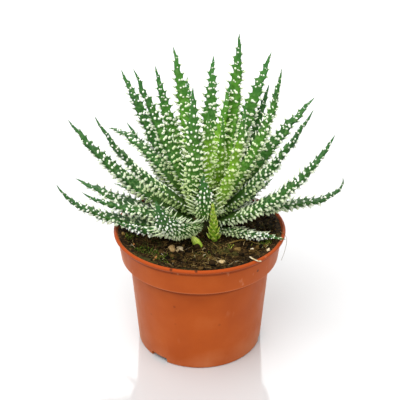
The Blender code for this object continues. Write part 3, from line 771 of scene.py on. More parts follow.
def make_lumps(name, draw, spots, fineness, mat):
    """Crumbs or pebbles: small spheres squashed, turned and roughened, pressed into the soil."""
    bm = bmesh.new()
    bmesh.ops.create_icosphere(bm, subdivisions=fineness, radius=1)
    ball = as_mesh(bm, "ball")
    frames = []
    for x, y, size, _, sunk in spots:
        wide, deep, high = (draw.uniform(*limits) for limits in ((0.8, 1.25), (0.8, 1.25), (0.6, 0.9)))
        turn = Matrix.Rotation(draw.uniform(0, math.tau), 4, "Z")
        turn = turn @ Matrix.Rotation(draw.uniform(-0.5, 0.5), 4, "X")
        place = Matrix.Translation((x, y, soil_height(x, y) + size * (0.75 - sunk)))
        form = Matrix.Diagonal((wide, deep, high, 1)) @ Matrix.Scale(size, 4)
        frames.append(np.array(place @ turn @ form)[:3])
    mesh = stamped(name, [(ball, np.array(frames))])
    own = len(ball.vertices)
    for k, vertex in enumerate(mesh.vertices):
        lump = k // own
        off = vertex.co - Vector(frames[lump][:, 3])
        vertex.co += off * 0.9 * rough(off, spots[lump][2] * 1.1, lump * 0.37)
    set_values(mesh, "tone", np.repeat([spot[3] for spot in spots], own))
    bpy.data.meshes.remove(ball)
    add_piece(name, mesh, mat)


def make_crumbs(mat):
    """Loose peat crumbs, many fine ones and fewer coarse ones."""
    draw = random.Random(21)
    fine = []
    coarse = []
    for _ in range(CRUMBS):
        x, y = on_soil(draw, CRUMB_REACH)
        size = CRUMB_LEAST + min(draw.expovariate(1 / 0.32), 1.4) * MM
        tone = held_in(draw.gauss(0.36, 0.22))
        (coarse if size > CRUMB_COARSE else fine).append((x, y, size, tone, 0.35))
    make_lumps("peat_crumbs_fine", draw, fine, 1, mat)
    make_lumps("peat_crumbs_coarse", draw, coarse, 2, mat)


def make_pebbles(mat):
    """The few pale pebbles and clay bits that show in front of the plant."""
    spots = [(x * MM, y * MM, size * MM, tone, 0.2) for x, y, size, tone in PEBBLES]
    make_lumps("soil_pebbles", random.Random(5), spots, 3, mat)


def make_strands(name, paths, mat):
    """Thin round strands along paths of (points, radius, tone), as one mesh."""
    curve = bpy.data.curves.new(name, "CURVE")
    curve.dimensions = "3D"
    curve.bevel_depth = 1.0
    curve.bevel_resolution = 0
    curve.use_fill_caps = True
    for points, radius, _ in paths:
        spline = curve.splines.new("POLY")
        spline.points.add(len(points) - 1)
        for k, (point, place) in enumerate(zip(spline.points, points)):
            point.co = (*place, 1)
            point.radius = radius * (1 - 0.6 * k / len(points))
    source = add_object(name, curve)
    mesh = evaluated(source)
    bpy.data.objects.remove(source, do_unlink=True)
    bpy.data.curves.remove(curve)
    bm = bmesh.new()
    bm.from_mesh(mesh)
    bpy.data.meshes.remove(mesh)
    close_seams(bm)
    layer = bm.verts.layers.float.new("tone")
    tone_of = [tone for points, _, tone in paths for _ in points]
    sides = len(bm.verts) / len(tone_of)
    for k, vertex in enumerate(bm.verts):
        vertex[layer] = tone_of[min(int(k / sides), len(tone_of) - 1)]
    add_piece(name, as_mesh(bm, name), mat)


def make_fibres(mat):
    """Peat fibres and bits of straw: short bent strands that lie on the crumbs, the last in a tuft."""
    draw = random.Random(33)
    paths = []
    for count in range(FIBRES):
        x, y = on_soil(draw, FIBRE_REACH)
        in_tuft = count >= TUFT_FROM
        if in_tuft:
            x, y = draw.gauss(3.0, 7.5) * MM, draw.gauss(-30.0, 6.0) * MM
            if not free_of_stem(x, y):
                continue
        heading = draw.uniform(0, math.tau)
        length = draw.uniform(2.5, 9.0) * MM
        bend = draw.uniform(-1.6, 1.6)
        arch = draw.uniform(0.2, 1.1) * MM
        points = []
        for k in range(FIBRE_POINTS):
            share = k / (FIBRE_POINTS - 1)
            points.append((x, y, soil_height(x, y) + LIES_OVER + arch * math.sin(math.pi * share)))
            x += length / (FIBRE_POINTS - 1) * math.cos(heading + bend * share)
            y += length / (FIBRE_POINTS - 1) * math.sin(heading + bend * share)
        tone = draw.gauss(0.3, 0.1) if in_tuft else draw.gauss(0.5, 0.25)
        paths.append((points, draw.uniform(0.09, 0.2) * MM, held_in(tone)))
    make_strands("peat_fibres", paths, mat)


def make_moss(mat):
    """Moss: tufts of tiny pointed leaves in a few patches, as the photo shows at both sides."""
    draw = random.Random(12)
    frames = []
    tones = []
    for cx, cy, reach, count, tone in MOSS_PATCHES:
        for _ in range(count):
            x = draw.gauss(cx, reach * 0.5) * MM
            y = draw.gauss(cy, reach * 0.5) * MM
            if math.hypot(x, y) > MOSS_REACH or not free_of_stem(x, y):
                continue
            length = draw.uniform(0.9, 2.2) * MM
            lean = Matrix.Rotation(draw.uniform(0, 1.1), 4, "X")
            turn = Matrix.Rotation(draw.uniform(0, math.tau), 4, "Z")
            form = Matrix.Diagonal((MOSS_WIDTH, MOSS_WIDTH, length / 2, 1))
            grow = Matrix.Translation((0, 0, length * 0.45)) @ form
            place = Matrix.Translation((x, y, soil_height(x, y) + 0.2 * MM)) @ turn @ lean @ grow
            frames.append(np.array(place)[:3])
            tones.append(held_in(tone + draw.gauss(0, 0.15)))
    bm = bmesh.new()
    bmesh.ops.create_cone(bm, cap_ends=True, segments=5, radius1=1, radius2=0.15, depth=2)
    blade = as_mesh(bm, "moss_blade")
    mesh = stamped("moss_tufts", [(blade, np.array(frames))])
    set_values(mesh, "tone", np.repeat(tones, len(blade.vertices)))
    bpy.data.meshes.remove(blade)
    add_piece("moss_tufts", mesh, mat)


def make_litter(mat):
    """The dry flake on the lip, the wisp that hangs over it and dead grass blades on the soil."""
    paths = []
    for offset in (0, 0.35, 0.7):
        points = [(x * MM, (y + offset) * MM, LITTER_ON_LIP + z * MM) for x, y, z in LIP_FLAKE]
        paths.append((points, 0.42 * MM, 0.95 - 0.3 * offset))
    paths.append(([(x * MM, y * MM, z * MM) for x, y, z in LIP_WISP], 0.17 * MM, 0.3))
    for offset in (0, 0.4):
        points = [
            (x * MM, (y + offset) * MM, soil_height(x * MM, y * MM) + z * MM) for x, y, z in GRASS_BLADE
        ]
        paths.append((points, 0.38 * MM, 0.3))
    make_strands("dry_litter", paths, mat)


# Stem, shoot and bud

def make_stem(mat):
    """The short stem: a rough dome on a round foot."""
    low = SOIL_TOP - STEM_DEPTH
    foot = [(STEM_RADIUS, DOME_BASE - 2 * MM), (STEM_RADIUS, low), (0, low)]
    angles = [math.radians(a) for a in range(87, -1, -3)]
    dome = [(DOME_RADIUS * math.cos(a), DOME_BASE + DOME_HEIGHT * math.sin(a)) for a in angles]
    bm = spun([(0, DOME_BASE + DOME_HEIGHT)] + dome + foot, 64)
    long_edges = [e for e in bm.edges if e.calc_length() > 2 * MM]
    bmesh.ops.subdivide_edges(bm, edges=long_edges, cuts=3, use_grid_fill=True)
    for vertex in bm.verts:
        vertex.co += vertex.normal * 0.5 * MM * rough(vertex.co, 1.8 * MM, 4.4)
    bmesh.ops.translate(bm, verts=bm.verts, vec=(PLANT_X, PLANT_Y, 0))
    add_piece("short_stem", as_mesh(bm, "short_stem"), mat, ["stem"])


def add_scale(bm, layer, place, length, width, thickness):
    """One small pointed scale leaf, its foot at the place and its tip along the place's Z."""
    made = bmesh.ops.create_uvsphere(bm, u_segments=10, v_segments=8, radius=1)
    for vertex in made["verts"]:
        height = (vertex.co.z + 1) / 2
        taper = 1 - 0.85 * height ** 1.8
        hollow = 0.55 * height ** 2
        x = vertex.co.x * width / 2 * taper
        y = vertex.co.y * thickness / 2 * taper - hollow * thickness
        vertex.co = place @ Vector((x, y, height * length))
        # low on the scale the value is small, so that its foot is dark green as painted shade between the
        # scales, and its tip pale
        vertex[layer] = 0.15 + 0.75 * height ** 1.2


def make_shoot(mat):
    """The offset: plump pointed scales in a tight spiral round a slim stem, cupped at its foot, which
    leans forward above the soil."""
    x, y = SHOOT_FOOT
    low = SOIL_TOP - HOLE_DEPTH
    top = SOIL_TOP + SHOOT_HEIGHT + 0.8 * MM
    profile = [
        (0, top),
        (0.6 * MM, top - 1.5 * MM),
        (1.3 * MM, top - 8 * MM),
        (SHOOT_RADIUS, SOIL_TOP + 4 * MM),
        (SHOOT_RADIUS, SOIL_TOP + SOIL_LUMP),
        (SHOOT_RADIUS, low),
        (0, low),
    ]
    bm = spun(profile, 20)
    layer = bm.verts.layers.float.new("raised")
    # the slim stem between the scales takes a low value, which shows dark green as painted shade in the
    # gaps between the scales
    for vertex in bm.verts:
        vertex[layer] = 0.25
    bmesh.ops.translate(bm, verts=bm.verts, vec=(x, y, 0))
    draw = random.Random(8)
    for k in range(SHOOT_LAYERS):
        share = k / (SHOOT_LAYERS - 1)
        height = SOIL_TOP + 0.8 * MM + (SHOOT_HEIGHT - 3.8 * MM) * share
        lean = Matrix.Rotation(math.radians(-40 + 26 * share), 4, "X")
        reach = Matrix.Translation((0, (1.7 - 1.3 * share) * MM, 0))
        for j in range(4):
            turn = Matrix.Rotation(math.radians(90 * j + 45 * (k % 2) + draw.uniform(-8, 8)), 4, "Z")
            place = Matrix.Translation((x, y, height)) @ turn @ reach @ lean
            size = draw.uniform(0.9, 1.1) * MM
            sizes = [(most - loss * share) * size for most, loss in ((5.4, 1.9), (4.4, 2.6), (1.5, 0.6))]
            add_scale(bm, layer, place, *sizes)
    for vertex in bm.verts:
        rise = max(vertex.co.z - SOIL_TOP - SOIL_LUMP, 0)
        vertex.co.y -= SHOOT_LEAN * rise
        vertex.co.x -= SHOOT_TILT * rise + SHOOT_SHIFT
    add_piece("offset_shoot_fine", as_mesh(bm, "offset_shoot_fine"), mat, ["offset_shoot"])


def make_bud(mat):
    """The pale new bud: two plump leaves pressed together, with faint ribs, leaning to the left."""
    bm = bmesh.new()
    layer = bm.verts.layers.float.new("raised")
    over = BUD_MIDDLE * math.tan(math.radians(BUD_LEAN))
    place = Matrix.Translation((BUD_FOOT[0] - over, BUD_FOOT[1], SOIL_TOP + BUD_MIDDLE))
    place = place @ Matrix.Rotation(math.radians(-BUD_LEAN), 4, "Y")
    for offset, size in BUD_LEAVES:
        made = bmesh.ops.create_uvsphere(bm, u_segments=40, v_segments=24, radius=1)
        for vertex in made["verts"]:
            x, y, height = vertex.co
            rib = math.cos(BUD_RIBS * math.atan2(y, x))
            width = BUD_RADIUS * size * (1 - 0.25 * max(height, 0) ** 2 + 0.025 * rib)
            deep = y * width * 0.8 + offset
            vertex.co = place @ Vector((x * width, deep, height * BUD_LENGTH / 2 * size))
            vertex[layer] = 0.52 + 0.18 * height + 0.16 * rib
    add_piece("pale_bud_fine", as_mesh(bm, "pale_bud_fine"), mat, ["pale_bud"])


# Growth of the leaves: paths, girth, and bending clear of each other

def direction(heading, rise):
    """Unit vector from a heading and a rise in degrees."""
    heading = np.radians(heading)
    rise = np.radians(rise)
    level = np.cos(rise)
    return np.stack([level * np.sin(heading), -level * np.cos(heading), np.sin(rise)], -1)


def start_directions():
    """Heading and rise in which each leaf leaves the stem, with SPREAD degrees between neighbours."""
    ways = np.array([direction(leaf.heading, leaf.rise) for leaf in LEAVES])
    for _ in range(SPREAD_STEPS):
        angle = np.degrees(np.arccos(np.clip(ways @ ways.T, -1, 1)))
        np.fill_diagonal(angle, 180)
        close = np.clip(SPREAD - angle, 0, None)[..., None]
        apart = unit(ways[:, None] - ways[None], 1e-9)
        ways = ways + np.radians(SPREAD_SHARE * (close * apart).sum(1))
        ways[:, 2] = np.clip(ways[:, 2], LOWEST_START, None)
        ways = unit(ways)
    return np.degrees(np.arctan2(ways[:, 0], -ways[:, 1])), np.degrees(np.arcsin(ways[:, 2]))


def leaf_path(leaf, start_heading, start_rise):
    """Centreline points and sideways vectors of a leaf, before it meets its neighbours."""
    count = (STATIONS - 1) * FINE_STEPS
    middle = (np.arange(count) + 0.5) / count
    off_heading = (start_heading - leaf.heading + 180) % 360 - 180
    off_rise = start_rise - leaf.rise
    settling = held_in(1 - middle / SETTLE) ** 2
    heading = leaf.heading + leaf.turn * middle + off_heading * settling
    hooked = middle ** HOOK_POWER
    # a curl bends the middle down as much as the tip up, so that the tip stays in its place
    curled = hooked - 2 * middle / (HOOK_POWER + 1)
    rise = leaf.rise + leaf.lift * middle + leaf.hook * hooked + off_rise * settling
    rise = rise + leaf.curl * curled
    first = direction(leaf.heading + off_heading, leaf.rise + off_rise)
    reach = np.array([DOME_RADIUS, DOME_RADIUS, DOME_HEIGHT])
    on_dome = np.array([PLANT_X, PLANT_Y, DOME_BASE]) + reach ** 2 * first / np.linalg.norm(reach * first)
    start = on_dome + first * LEAF_GAP
    steps = direction(heading, rise) * leaf.length * MM / count
    points = np.vstack([start, start + np.cumsum(steps, 0)])[::FINE_STEPS]
    share = STATION_SHARES
    settling = held_in(1 - share / SETTLE) ** 2
    side_heading = np.radians(leaf.heading + leaf.turn * share + off_heading * settling)
    side = np.stack([np.cos(side_heading), np.sin(side_heading), 0 * share], -1)
    return points, side


def leaf_girth(leaf):
    """Half width, thickness and tubercle height at each station."""
    share = STATION_SHARES
    to_tip = leaf.length * MM * (1 - share)
    width = leaf.width * MM * (1 - np.exp(-to_tip / TAPER))
    swell = held_in(share / SWELL_END)
    swell = swell * swell * (3 - 2 * swell)
    half = width / 2 * (FOOT_WIDTH + (1 - FOOT_WIDTH) * swell)
    thick = THICKNESS * width * (FOOT_THICKNESS + (1 - FOOT_THICKNESS) * swell)
    fade = np.sqrt(held_in(to_tip / RELIEF_FADE))
    relief = RELIEF * fade * held_in((share - RELIEF_START) / RELIEF_RAMP)
    return half, thick, relief


def leaf_frames(points, side):
    """Unit vectors along, across and out of the upper face of each leaf at its stations."""
    along = unit(np.gradient(points, axis=-2))
    side = unit(side - (side * along).sum(-1, keepdims=True) * along)
    return along, side, np.cross(along, side)


def ground_height(points):
    """Top of the soil and the pot's lip below each point, far down outside the pot."""
    radius = np.hypot(points[..., 0], points[..., 1])
    lip = POT_HEIGHT + SOIL_LUMP
    soil = SOIL_TOP + SOIL_LUMP
    inside = COLLAR_TOP_RADIUS - WALL
    places = [0, inside - 5 * MM, inside - 2 * MM, LIP_RADIUS + 2 * MM, LIP_RADIUS + 3 * MM]
    return np.interp(radius, places, [soil, soil, lip, lip, -POT_HEIGHT])


def close_pairs(points, along, side, up, half, deep, length):
    """Pairs of stations of different leaves that face each other, their distance and their joint reach."""
    owner = np.repeat(np.arange(len(LEAVES)), STATIONS)
    points, along, side, up = (each.reshape(-1, 3) for each in (points, along, side, up))
    half = half.ravel()
    deep = deep.ravel()
    square = ((points[:, None] - points[None]) ** 2).sum(-1)
    one, two = np.nonzero((square < SEARCH ** 2) & (owner[:, None] < owner[None]))
    between = points[one] - points[two]
    lengthwise = (between * along[one]).sum(-1)
    between = between - lengthwise[:, None] * along[one]
    facing = np.abs(lengthwise) < FACING_SHARE * length[owner[one]] / (STATIONS - 1) + FACING_ROOM
    one, two, between = one[facing], two[facing], between[facing]
    distance = np.linalg.norm(between, axis=-1) + 1e-9
    way = between / distance[:, None]
    other = way - (way * along[two]).sum(-1)[:, None] * along[two]
    reach = np.hypot(half[one] * (way * side[one]).sum(-1), deep[one] * (way * up[one]).sum(-1))
    reach += np.hypot(half[two] * (other * side[two]).sum(-1), deep[two] * (other * up[two]).sum(-1))
    return one, two, way, distance, reach


def smooth_along(shift):
    """Even out a shift along each leaf, with its start held and its tip carried on straight."""
    for _ in range(2):
        new = shift.copy()
        new[:, 1:-1] = 0.25 * shift[:, :-2] + 0.5 * shift[:, 1:-1] + 0.25 * shift[:, 2:]
        new[:, -1] = 0.5 * shift[:, -1] + 0.5 * (2 * shift[:, -2] - shift[:, -3])
        new[:, 0] = 0
        shift = new
    return shift


def grow_leaves():
    """Paths, frames and girths of all the leaves as in the part, but with fuller feet."""
    headings, rises = start_directions()
    paths = [leaf_path(*args) for args in zip(LEAVES, headings, rises)]
    rest = np.array([points for points, _ in paths])
    level_side = np.array([side for _, side in paths])
    half, thick, relief = (np.array(part) for part in zip(*[leaf_girth(leaf) for leaf in LEAVES]))
    length = np.array([leaf.length * MM for leaf in LEAVES])
    wide = half + relief
    deep = HALF_THICKNESS * thick + KEEL_RELIEF * relief
    shift = np.zeros_like(rest)
    free = held_in((STATION_SHARES - HELD) / FREEING)[None, :, None]
    for _ in range(BEND_STEPS):
        points = rest + shift
        along, side, up = leaf_frames(points, level_side)
        one, two, way, distance, reach = close_pairs(points, along, side, up, wide, deep, length)
        overlap = np.clip(reach + LEAF_GAP - distance, 0, None)
        # flat leaves slip past each other through their thin direction
        lean = up.reshape(-1, 3)[one]
        lean = lean * np.sign((way * lean).sum(-1))[:, None]
        push = way + SLIP * lean
        push *= (overlap / 2 / np.linalg.norm(push, axis=-1))[:, None]
        total = np.zeros((len(LEAVES) * STATIONS, 3))
        hits = np.zeros(len(total))
        np.add.at(total, one, push)
        np.add.at(total, two, -push)
        np.add.at(hits, one, overlap > 0)
        np.add.at(hits, two, overlap > 0)
        push = (total / np.maximum(1, hits)[:, None]).reshape(rest.shape)
        ground = ground_height(points)
        sunk = np.clip(ground + LEAF_GAP + deep - points[..., 2], 0, RISE_STEP)
        push[..., 2] += sunk * (ground > 0)
        shift = smooth_along(shift + BEND_SHARE * push * free)
    points = rest + shift
    along, side, up = leaf_frames(points, level_side)
    one, two, way, distance, reach = close_pairs(points, along, side, up, wide, deep, length)
    allowed = np.clip((distance - LEAF_GAP) / reach, NARROWEST, 1)
    girth = np.ones(len(LEAVES) * STATIONS)
    np.minimum.at(girth, one, allowed)
    np.minimum.at(girth, two, allowed)
    girth = girth.reshape(half.shape)
    pinch = girth.copy()
    pinch[:, 1:] = np.minimum(pinch[:, 1:], girth[:, :-1])
    pinch[:, :-1] = np.minimum(pinch[:, :-1], girth[:, 1:])
    fuller = FOOT_FULLNESS * held_in(1 - STATION_SHARES / FOOT_END)
    facing = np.array([leaf.facing for leaf in LEAVES])[:, None]
    pinch += (1 - pinch) * np.where(facing, 1, fuller)
    half = half * np.array([leaf.wider for leaf in LEAVES])[:, None]
    roll = np.radians([leaf.roll for leaf in LEAVES])[:, None, None]
    side, up = side * np.cos(roll) + up * np.sin(roll), up * np.cos(roll) - side * np.sin(roll)
    return points, along, side, up, half * pinch, thick * pinch


# Fine leaves

def at_share(values, share):
    """Smooth curve through a leaf's stations, read at shares of its length."""
    at = held_in(share) * (STATIONS - 1)
    k = np.minimum(at.astype(int), STATIONS - 2)
    t = (at - k).reshape(-1, *[1] * (values.ndim - 1))
    before, first, second, after = (values[np.clip(k + step, 0, STATIONS - 1)] for step in (-1, 0, 1, 2))
    slope = 3 * (first - second) + after - before
    bend = 2 * before - 5 * first + 4 * second - after
    return first + 0.5 * t * (second - before + t * (bend + t * slope))


class Blade:
    """The surface of one fine leaf, by share of its length and angle round its section.

    Angle 0 is one margin, a quarter turn the middle of the upper face, half a turn the other margin,
    and three quarters the keel of the underside.
    """

    def __init__(self, leaf, stations, draw):
        self.length = leaf.length * MM
        self.stations = stations
        self.phases = [draw.uniform(0, math.tau) for _ in range(3)]
        self.facing = leaf.facing
        self.dense = DENSE if self.facing else 1
        self.rough_from = ROUGH_FROM if leaf.rough_foot or leaf.facing else RIDGE_START
        self.rows = self.spaced(self.row_step)
        self.teeth = self.spaced(self.tooth_step)

    def spaced(self, step):
        """Shares of the length, apart from each other by a step that grows towards the tip."""
        places = [ROW_FIRST]
        while places[-1] < ROW_LAST:
            places.append(places[-1] + step(places[-1]) / self.length)
        return np.array(places[:-1])

    def row_step(self, share):
        return self.dense * (ROW_NEAR + (ROW_FAR - ROW_NEAR) * held_in(share) ** 1.5)

    def tooth_step(self, share):
        return TOOTH_NEAR + (TOOTH_FAR - TOOTH_NEAR) * held_in(share)

    def size(self, share):
        """Tubercles and teeth get smaller over the last stretch before the tip."""
        fade = min(RELIEF_FADE / self.length, FACING_FADE if self.facing else SHORT_FADE)
        return np.sqrt(held_in((1 - share) / fade))

    def frame(self, share):
        """Middle of the leaf, its directions, half width and thickness at some shares of its length."""
        points, along, side, up, half, thick = (at_share(values, share) for values in self.stations)
        behind = np.minimum(share, 0) * self.length
        wave = share * self.length / WANDER_LENGTH * math.tau
        swing = WANDER * held_in(share * 2) * held_in((1 - share) * 8)
        unevenness = 0.7 + 0.5 * np.sin(0.37 * wave + self.phases[1])
        sideways = swing * np.sin(wave + self.phases[0]) * unevenness
        upward = 0.6 * swing * np.sin(0.8 * wave + self.phases[2])
        points = points + along * behind[:, None] + side * sideways[:, None] + up * upward[:, None]
        slim = 1 - SLIM_TIP * held_in(share * 2 - 1)
        return points, along, side, up, half * slim, thick * slim

    def lobes(self, share, half, offset):
        """How far the margin stands out: it widens towards each tooth and steps back behind it."""
        index = np.interp(share, self.teeth, np.arange(len(self.teeth))) - offset
        inside = held_in((share - self.teeth[0]) * 8) * (share < self.teeth[-1])
        lobe = np.minimum(LOBE * self.tooth_step(share), LOBE_MOST * half)
        return lobe * inside * ((index % 1) ** 2 - 0.35)

    def crest(self, share, angle):
        """Height of the low wavy ridge that each row of tubercles stands on: 1 on the row, 0 between."""
        row = np.interp(share, self.rows, np.arange(len(self.rows)))
        return 0.5 + 0.5 * np.cos((row + 0.2 * np.sin(3 * angle + self.phases[1])) * math.tau)

    def inner(self, share):
        """How rough the upper face is: smooth at its foot, as rough as the underside further out."""
        return held_in((share - self.rough_from) * 8)

    def place(self, share, angle):
        """Points on the surface, and the outward normals of the section there."""
        points, _, side, up, half, thick = self.frame(share)
        across = np.cos(angle)
        rise = np.sin(angle)
        lobe = np.where(across > 0, self.lobes(share, half, 0.0), self.lobes(share, half, 0.5))
        top = rise > 0
        height = MARGIN_UP + np.where(top, TOP_RISE * rise * (1 - TOP_HOLLOW * rise), UNDER_DEPTH * rise)
        turn = np.where(top, TOP_RISE * (1 - 2 * TOP_HOLLOW * rise), UNDER_DEPTH) * across
        half = half + lobe * across ** 6
        ridge = RIDGE * self.size(share) * np.where(top, self.inner(share), 1)
        out = height * thick + np.sign(rise) * ridge * self.crest(share, angle) * abs(rise)
        surface = points + side * (across * half)[:, None] + up * out[:, None]
        normal = side * (turn * thick)[:, None] + up * (rise * half)[:, None]
        return surface, unit(normal, 1e-9)


def leaf_body(blade):
    """The leaf's smooth body: a sheet of quads rolled into the leaf's form and closed at both ends."""
    bm = bmesh.new()
    bmesh.ops.create_grid(bm, x_segments=BODY_RINGS, y_segments=BODY_POINTS, size=1)
    flat = np.array([vertex.co for vertex in bm.verts])
    root = ROOTED / blade.length
    share = (flat[:, 0] + 1) / 2 * (1 + root) - root
    surface, _ = blade.place(share, (flat[:, 1] + 1) * math.pi)
    centre = blade.frame(share)[0]
    cap = np.sqrt(held_in((share + root) / root * 1.5))[:, None]
    surface = centre + (surface - centre) * cap
    rough_at = np.where(flat[:, 1] < 0, blade.inner(share), 1) * (1 - 0.7 * np.maximum(share, 0))
    if blade.facing:
        rough_at = 1.3 * rough_at
    layers = [bm.verts.layers.float.new(name) for name in ("along", "around", "knobbly")]
    for vertex, place, *values in zip(bm.verts, surface, np.maximum(share, 0), flat[:, 1], rough_at):
        vertex.co = place
        for layer, value in zip(layers, values):
            vertex[layer] = value
    close_seams(bm, 0.0005 * MM)
    return as_mesh(bm, "leaf_body")


def dot_places(blade, draw):
    """Share, angle, and size along, across and out of every tubercle on a leaf's faces."""
    spots = []

    def add(at, angle, size, form):
        spots.append((at, angle, *(size * part for part in form)))

    for row, share in enumerate(blade.rows):
        half, thick = (float(values[0]) for values in blade.frame(np.array([share]))[4:])
        girth = math.pi * math.hypot(half, UNDER_DEPTH * thick) / math.sqrt(2)
        step = blade.row_step(share) / blade.length
        pitch = blade.dense * OUTER_PITCH * (0.9 + 0.35 * share)
        count = max(1, round(girth * OUTER_SPREAD / pitch))
        for k in range(count):
            turn = (k + 0.5 + (0.25 if row % 2 else -0.25) * (count > 1)) / count
            angle = math.pi * (1 + turn) + draw.gauss(0, 0.06)
            size = draw.uniform(0.6, 1.35) * (0.9 + 0.24 * min(2 * share, 1))
            at = share + step * draw.gauss(0, ROW_JITTER)
            if blade.facing:
                add(at, angle, size * (0.74 + 0.2 * min(2.5 * share, 1)), FACING_FORM)
                continue
            add(at, angle, size, (1, 0.92, 1.35 - 0.6 * share))
            if draw.random() < TWIN:
                add(at + step * draw.gauss(0, TWIN_JITTER), angle + DOT_ACROSS / half, size, TWIN_FORM)
        if share > blade.rough_from + INNER_AFTER and draw.random() < INNER_CHANCE:
            count = max(1, round(2 * half * INNER_SPREAD / INNER_PITCH))
            for k in range(count):
                across = INNER_SPREAD * (1 - 2 * (k + 0.5) / count) + draw.gauss(0, 0.1)
                angle = math.acos(held_in(across, -0.9, 0.9))
                size = INNER_DOT * draw.uniform(0.75, 1.45)
                at = share + step * draw.gauss(0, INNER_JITTER)
                add(at, angle, size, INNER_FORM)
                if draw.random() < TWIN_INNER:
                    near = angle + INNER_FORM[1] * DOT_ACROSS / half
                    add(at + step * draw.gauss(0, TWIN_JITTER), near, size, INNER_TWIN_FORM)
    return np.array(spots)


def dot_frames(blade, spots):
    """Where each tubercle stands: columns across, along and out, then its middle."""
    share, angle = spots[:, 0], spots[:, 1]
    surface, normal = blade.place(share, angle)
    along = blade.frame(share)[1]
    across = np.cross(along, normal)
    long, wide, out = (spots[:, k] * blade.size(share) for k in (2, 3, 4))
    out = out * DOT_OUT
    columns = [
        across * (DOT_ACROSS * wide)[:, None],
        along * (DOT_ALONG * long)[:, None],
        (normal + DOT_LEAN * along) * out[:, None],
        surface + normal * (DOT_SUNK * out)[:, None],
    ]
    return np.stack(columns, -1)


def tooth_frames(blade, draw, bristle):
    """Where each margin tooth stands. They lean outwards and towards the tip."""
    margins = []
    half_step = np.diff(blade.teeth, append=blade.teeth[-1]) / 2
    for sign, places in ((1, blade.teeth), (-1, blade.teeth + half_step)):
        places = places[places > TOOTH_FIRST]
        angle = np.full(len(places), 0.0 if sign > 0 else math.pi)
        surface, _ = blade.place(places - 0.002, angle)
        _, along, side, up, _, _ = blade.frame(places)
        tipward, raised, long = (
            np.array([draw.uniform(*limits) for _ in places])[:, None]
            for limits in ((0.3, 0.8), (-0.15, 0.35), (0.75, 1.15))
        )
        way = unit(side * sign * 0.85 + along * tipward + up * raised)
        across = unit(np.cross(up, way))
        size = blade.size(places)[:, None]
        reach = TOOTH_LENGTH * bristle * size * long / 2
        radius = TOOTH_RADIUS * (0.4 + 0.6 * size)
        middle = surface + way * (reach - 0.6 * radius)
        margins.append(np.stack([across * radius, np.cross(way, across) * radius, way * reach, middle], -1))
    return np.concatenate(margins)


def make_leaf(leaf, stations, mat, dot, tooth):
    """One fine leaf: its body, tubercles and margin teeth, with the values that its material reads."""
    draw = random.Random(leaf.name)
    blade = Blade(leaf, stations, draw)
    body = leaf_body(blade)
    spots = dot_places(blade, draw)
    teeth = tooth_frames(blade, draw, leaf.bristle)
    name = leaf.name + "_fine"
    mesh = stamped(name, [(body, AS_IT_IS), (dot, dot_frames(blade, spots)), (tooth, teeth)])
    along = np.empty(len(body.vertices))
    body.attributes["along"].data.foreach_get("value", along)
    dot_height, tooth_height = (np.array([v.co.z for v in each.vertices]) for each in (dot, tooth))
    dot_raised = np.tile(held_in(dot_height * 0.9 + 0.25), len(spots))
    tooth_raised = np.tile(np.where(tooth_height < 0, 0.3, 1.0), len(teeth))
    tooth_white = FACING_TOOTH_WHITE if blade.facing else TOOTH_WHITE
    dot_white = FACING_DOT_WHITE if blade.facing else DOT_WHITE if blade.rough_from < RIDGE_START else 0
    dot_along = np.repeat(np.maximum(spots[:, 0], dot_white), len(dot_height))
    tooth_along = np.full(len(teeth) * len(tooth_height), tooth_white)
    set_values(mesh, "along", np.concatenate([along, dot_along, tooth_along]))
    set_values(mesh, "raised", np.concatenate([np.zeros(len(along)), dot_raised, tooth_raised]))
    set_values(mesh, "youth", np.full(len(mesh.vertices), leaf.youth))
    bpy.data.meshes.remove(body)
    add_piece(name, mesh, mat, [leaf.name])


def make_leaves(mat):
    """All the leaves, from one tubercle and one tooth."""
    bm = bmesh.new()
    bmesh.ops.create_uvsphere(bm, u_segments=6, v_segments=5, radius=1)
    for vertex in bm.verts:
        slim = 1 - DROP_POINT * max(vertex.co.z, 0)
        vertex.co = (vertex.co.x * slim, vertex.co.y * slim, vertex.co.z)
    dot = as_mesh(bm, "tubercle")
    bm = bmesh.new()
    bmesh.ops.create_cone(bm, cap_ends=True, segments=6, radius1=1, radius2=TOOTH_POINT, depth=2)
    tooth = as_mesh(bm, "tooth")
    grown = grow_leaves()
    for k, leaf in enumerate(LEAVES):
        make_leaf(leaf, [part[k] for part in grown], mat, dot, tooth)


# Studio

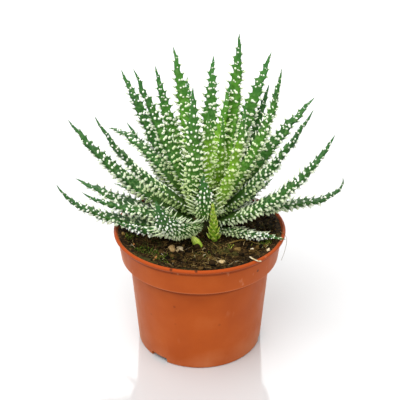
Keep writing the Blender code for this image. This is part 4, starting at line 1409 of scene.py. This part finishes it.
def make_camera():
    """The camera, at the photograph's angle and distance."""
    rise = math.radians(CAMERA_RISE)
    data = bpy.data.cameras.new("camera")
    data.sensor_width = SENSOR
    data.lens = SENSOR * FOCAL_PIXELS / FRAME_PIXELS
    camera = add_object("camera", data)
    camera.location = Vector(CAMERA_TARGET) + CAMERA_DISTANCE * Vector((0, -math.cos(rise), math.sin(rise)))
    camera.rotation_euler = (math.pi / 2 - rise, 0, 0)
    bpy.context.scene.camera = camera


def make_studio():
    """A glossy white board under soft even light, with two softboxes and a bright ceiling behind."""
    # smooth lacquer: an even white that mirrors the foot of what stands on it
    mat, node, shader, place = new_material("white lacquered studio board")
    cloud = node("TexNoise", {"Vector": place, "Scale": 3.0})
    tone = node("ValToRGB", {"Fac": cloud}, [(0.0, "#c6c6c6"), (1.0, "#cacaca")])
    set_inputs(shader, {"Base Color": tone, "Roughness": 0.08, "IOR": 1.9})
    bm = bmesh.new()
    bmesh.ops.create_grid(bm, x_segments=8, y_segments=8, size=FLOOR_REACH)
    bmesh.ops.translate(bm, verts=bm.verts, vec=(0, 0, -FLOOR_BELOW))
    floor = add_object("floor", as_mesh(bm, "floor"))
    floor.data.materials.append(mat)
    world = bpy.data.worlds.new("studio")
    bpy.context.scene.world = world
    world.use_nodes = True
    set_inputs(world.node_tree.nodes["Background"], {"Color": "#ffffff", "Strength": WORLD_LIGHT})
    for name, place, aim, width, depth, power in LAMPS:
        data = bpy.data.lights.new(name, "AREA")
        data.shape = "RECTANGLE"
        data.size = width
        data.size_y = depth
        data.energy = power
        lamp = add_object(name, data)
        lamp.location = place
        lamp.rotation_euler = (Vector(aim) - Vector(place)).to_track_quat("-Z", "Y").to_euler()
        # the glossy board would mirror a softbox as a hard bright shape in the other views
        lamp.visible_glossy = "softbox" not in name
    bpy.context.scene.view_settings.view_transform = "Standard"


def main():
    """Make the camera, every piece of the plant and its pot, and the studio."""
    make_camera()
    make_pot(pot_plastic())
    make_soil(peat())
    crumb, stone, straw, moss = (toned(*kind) for kind in LOOSE_KINDS)
    make_crumbs(crumb)
    make_pebbles(stone)
    make_fibres(straw)
    make_moss(moss)
    make_litter(straw)
    make_stem(stem_skin())
    tender = shoot_skin()
    make_shoot(tender)
    make_bud(tender)
    make_leaves(leaf_skin())
    make_studio()


main()
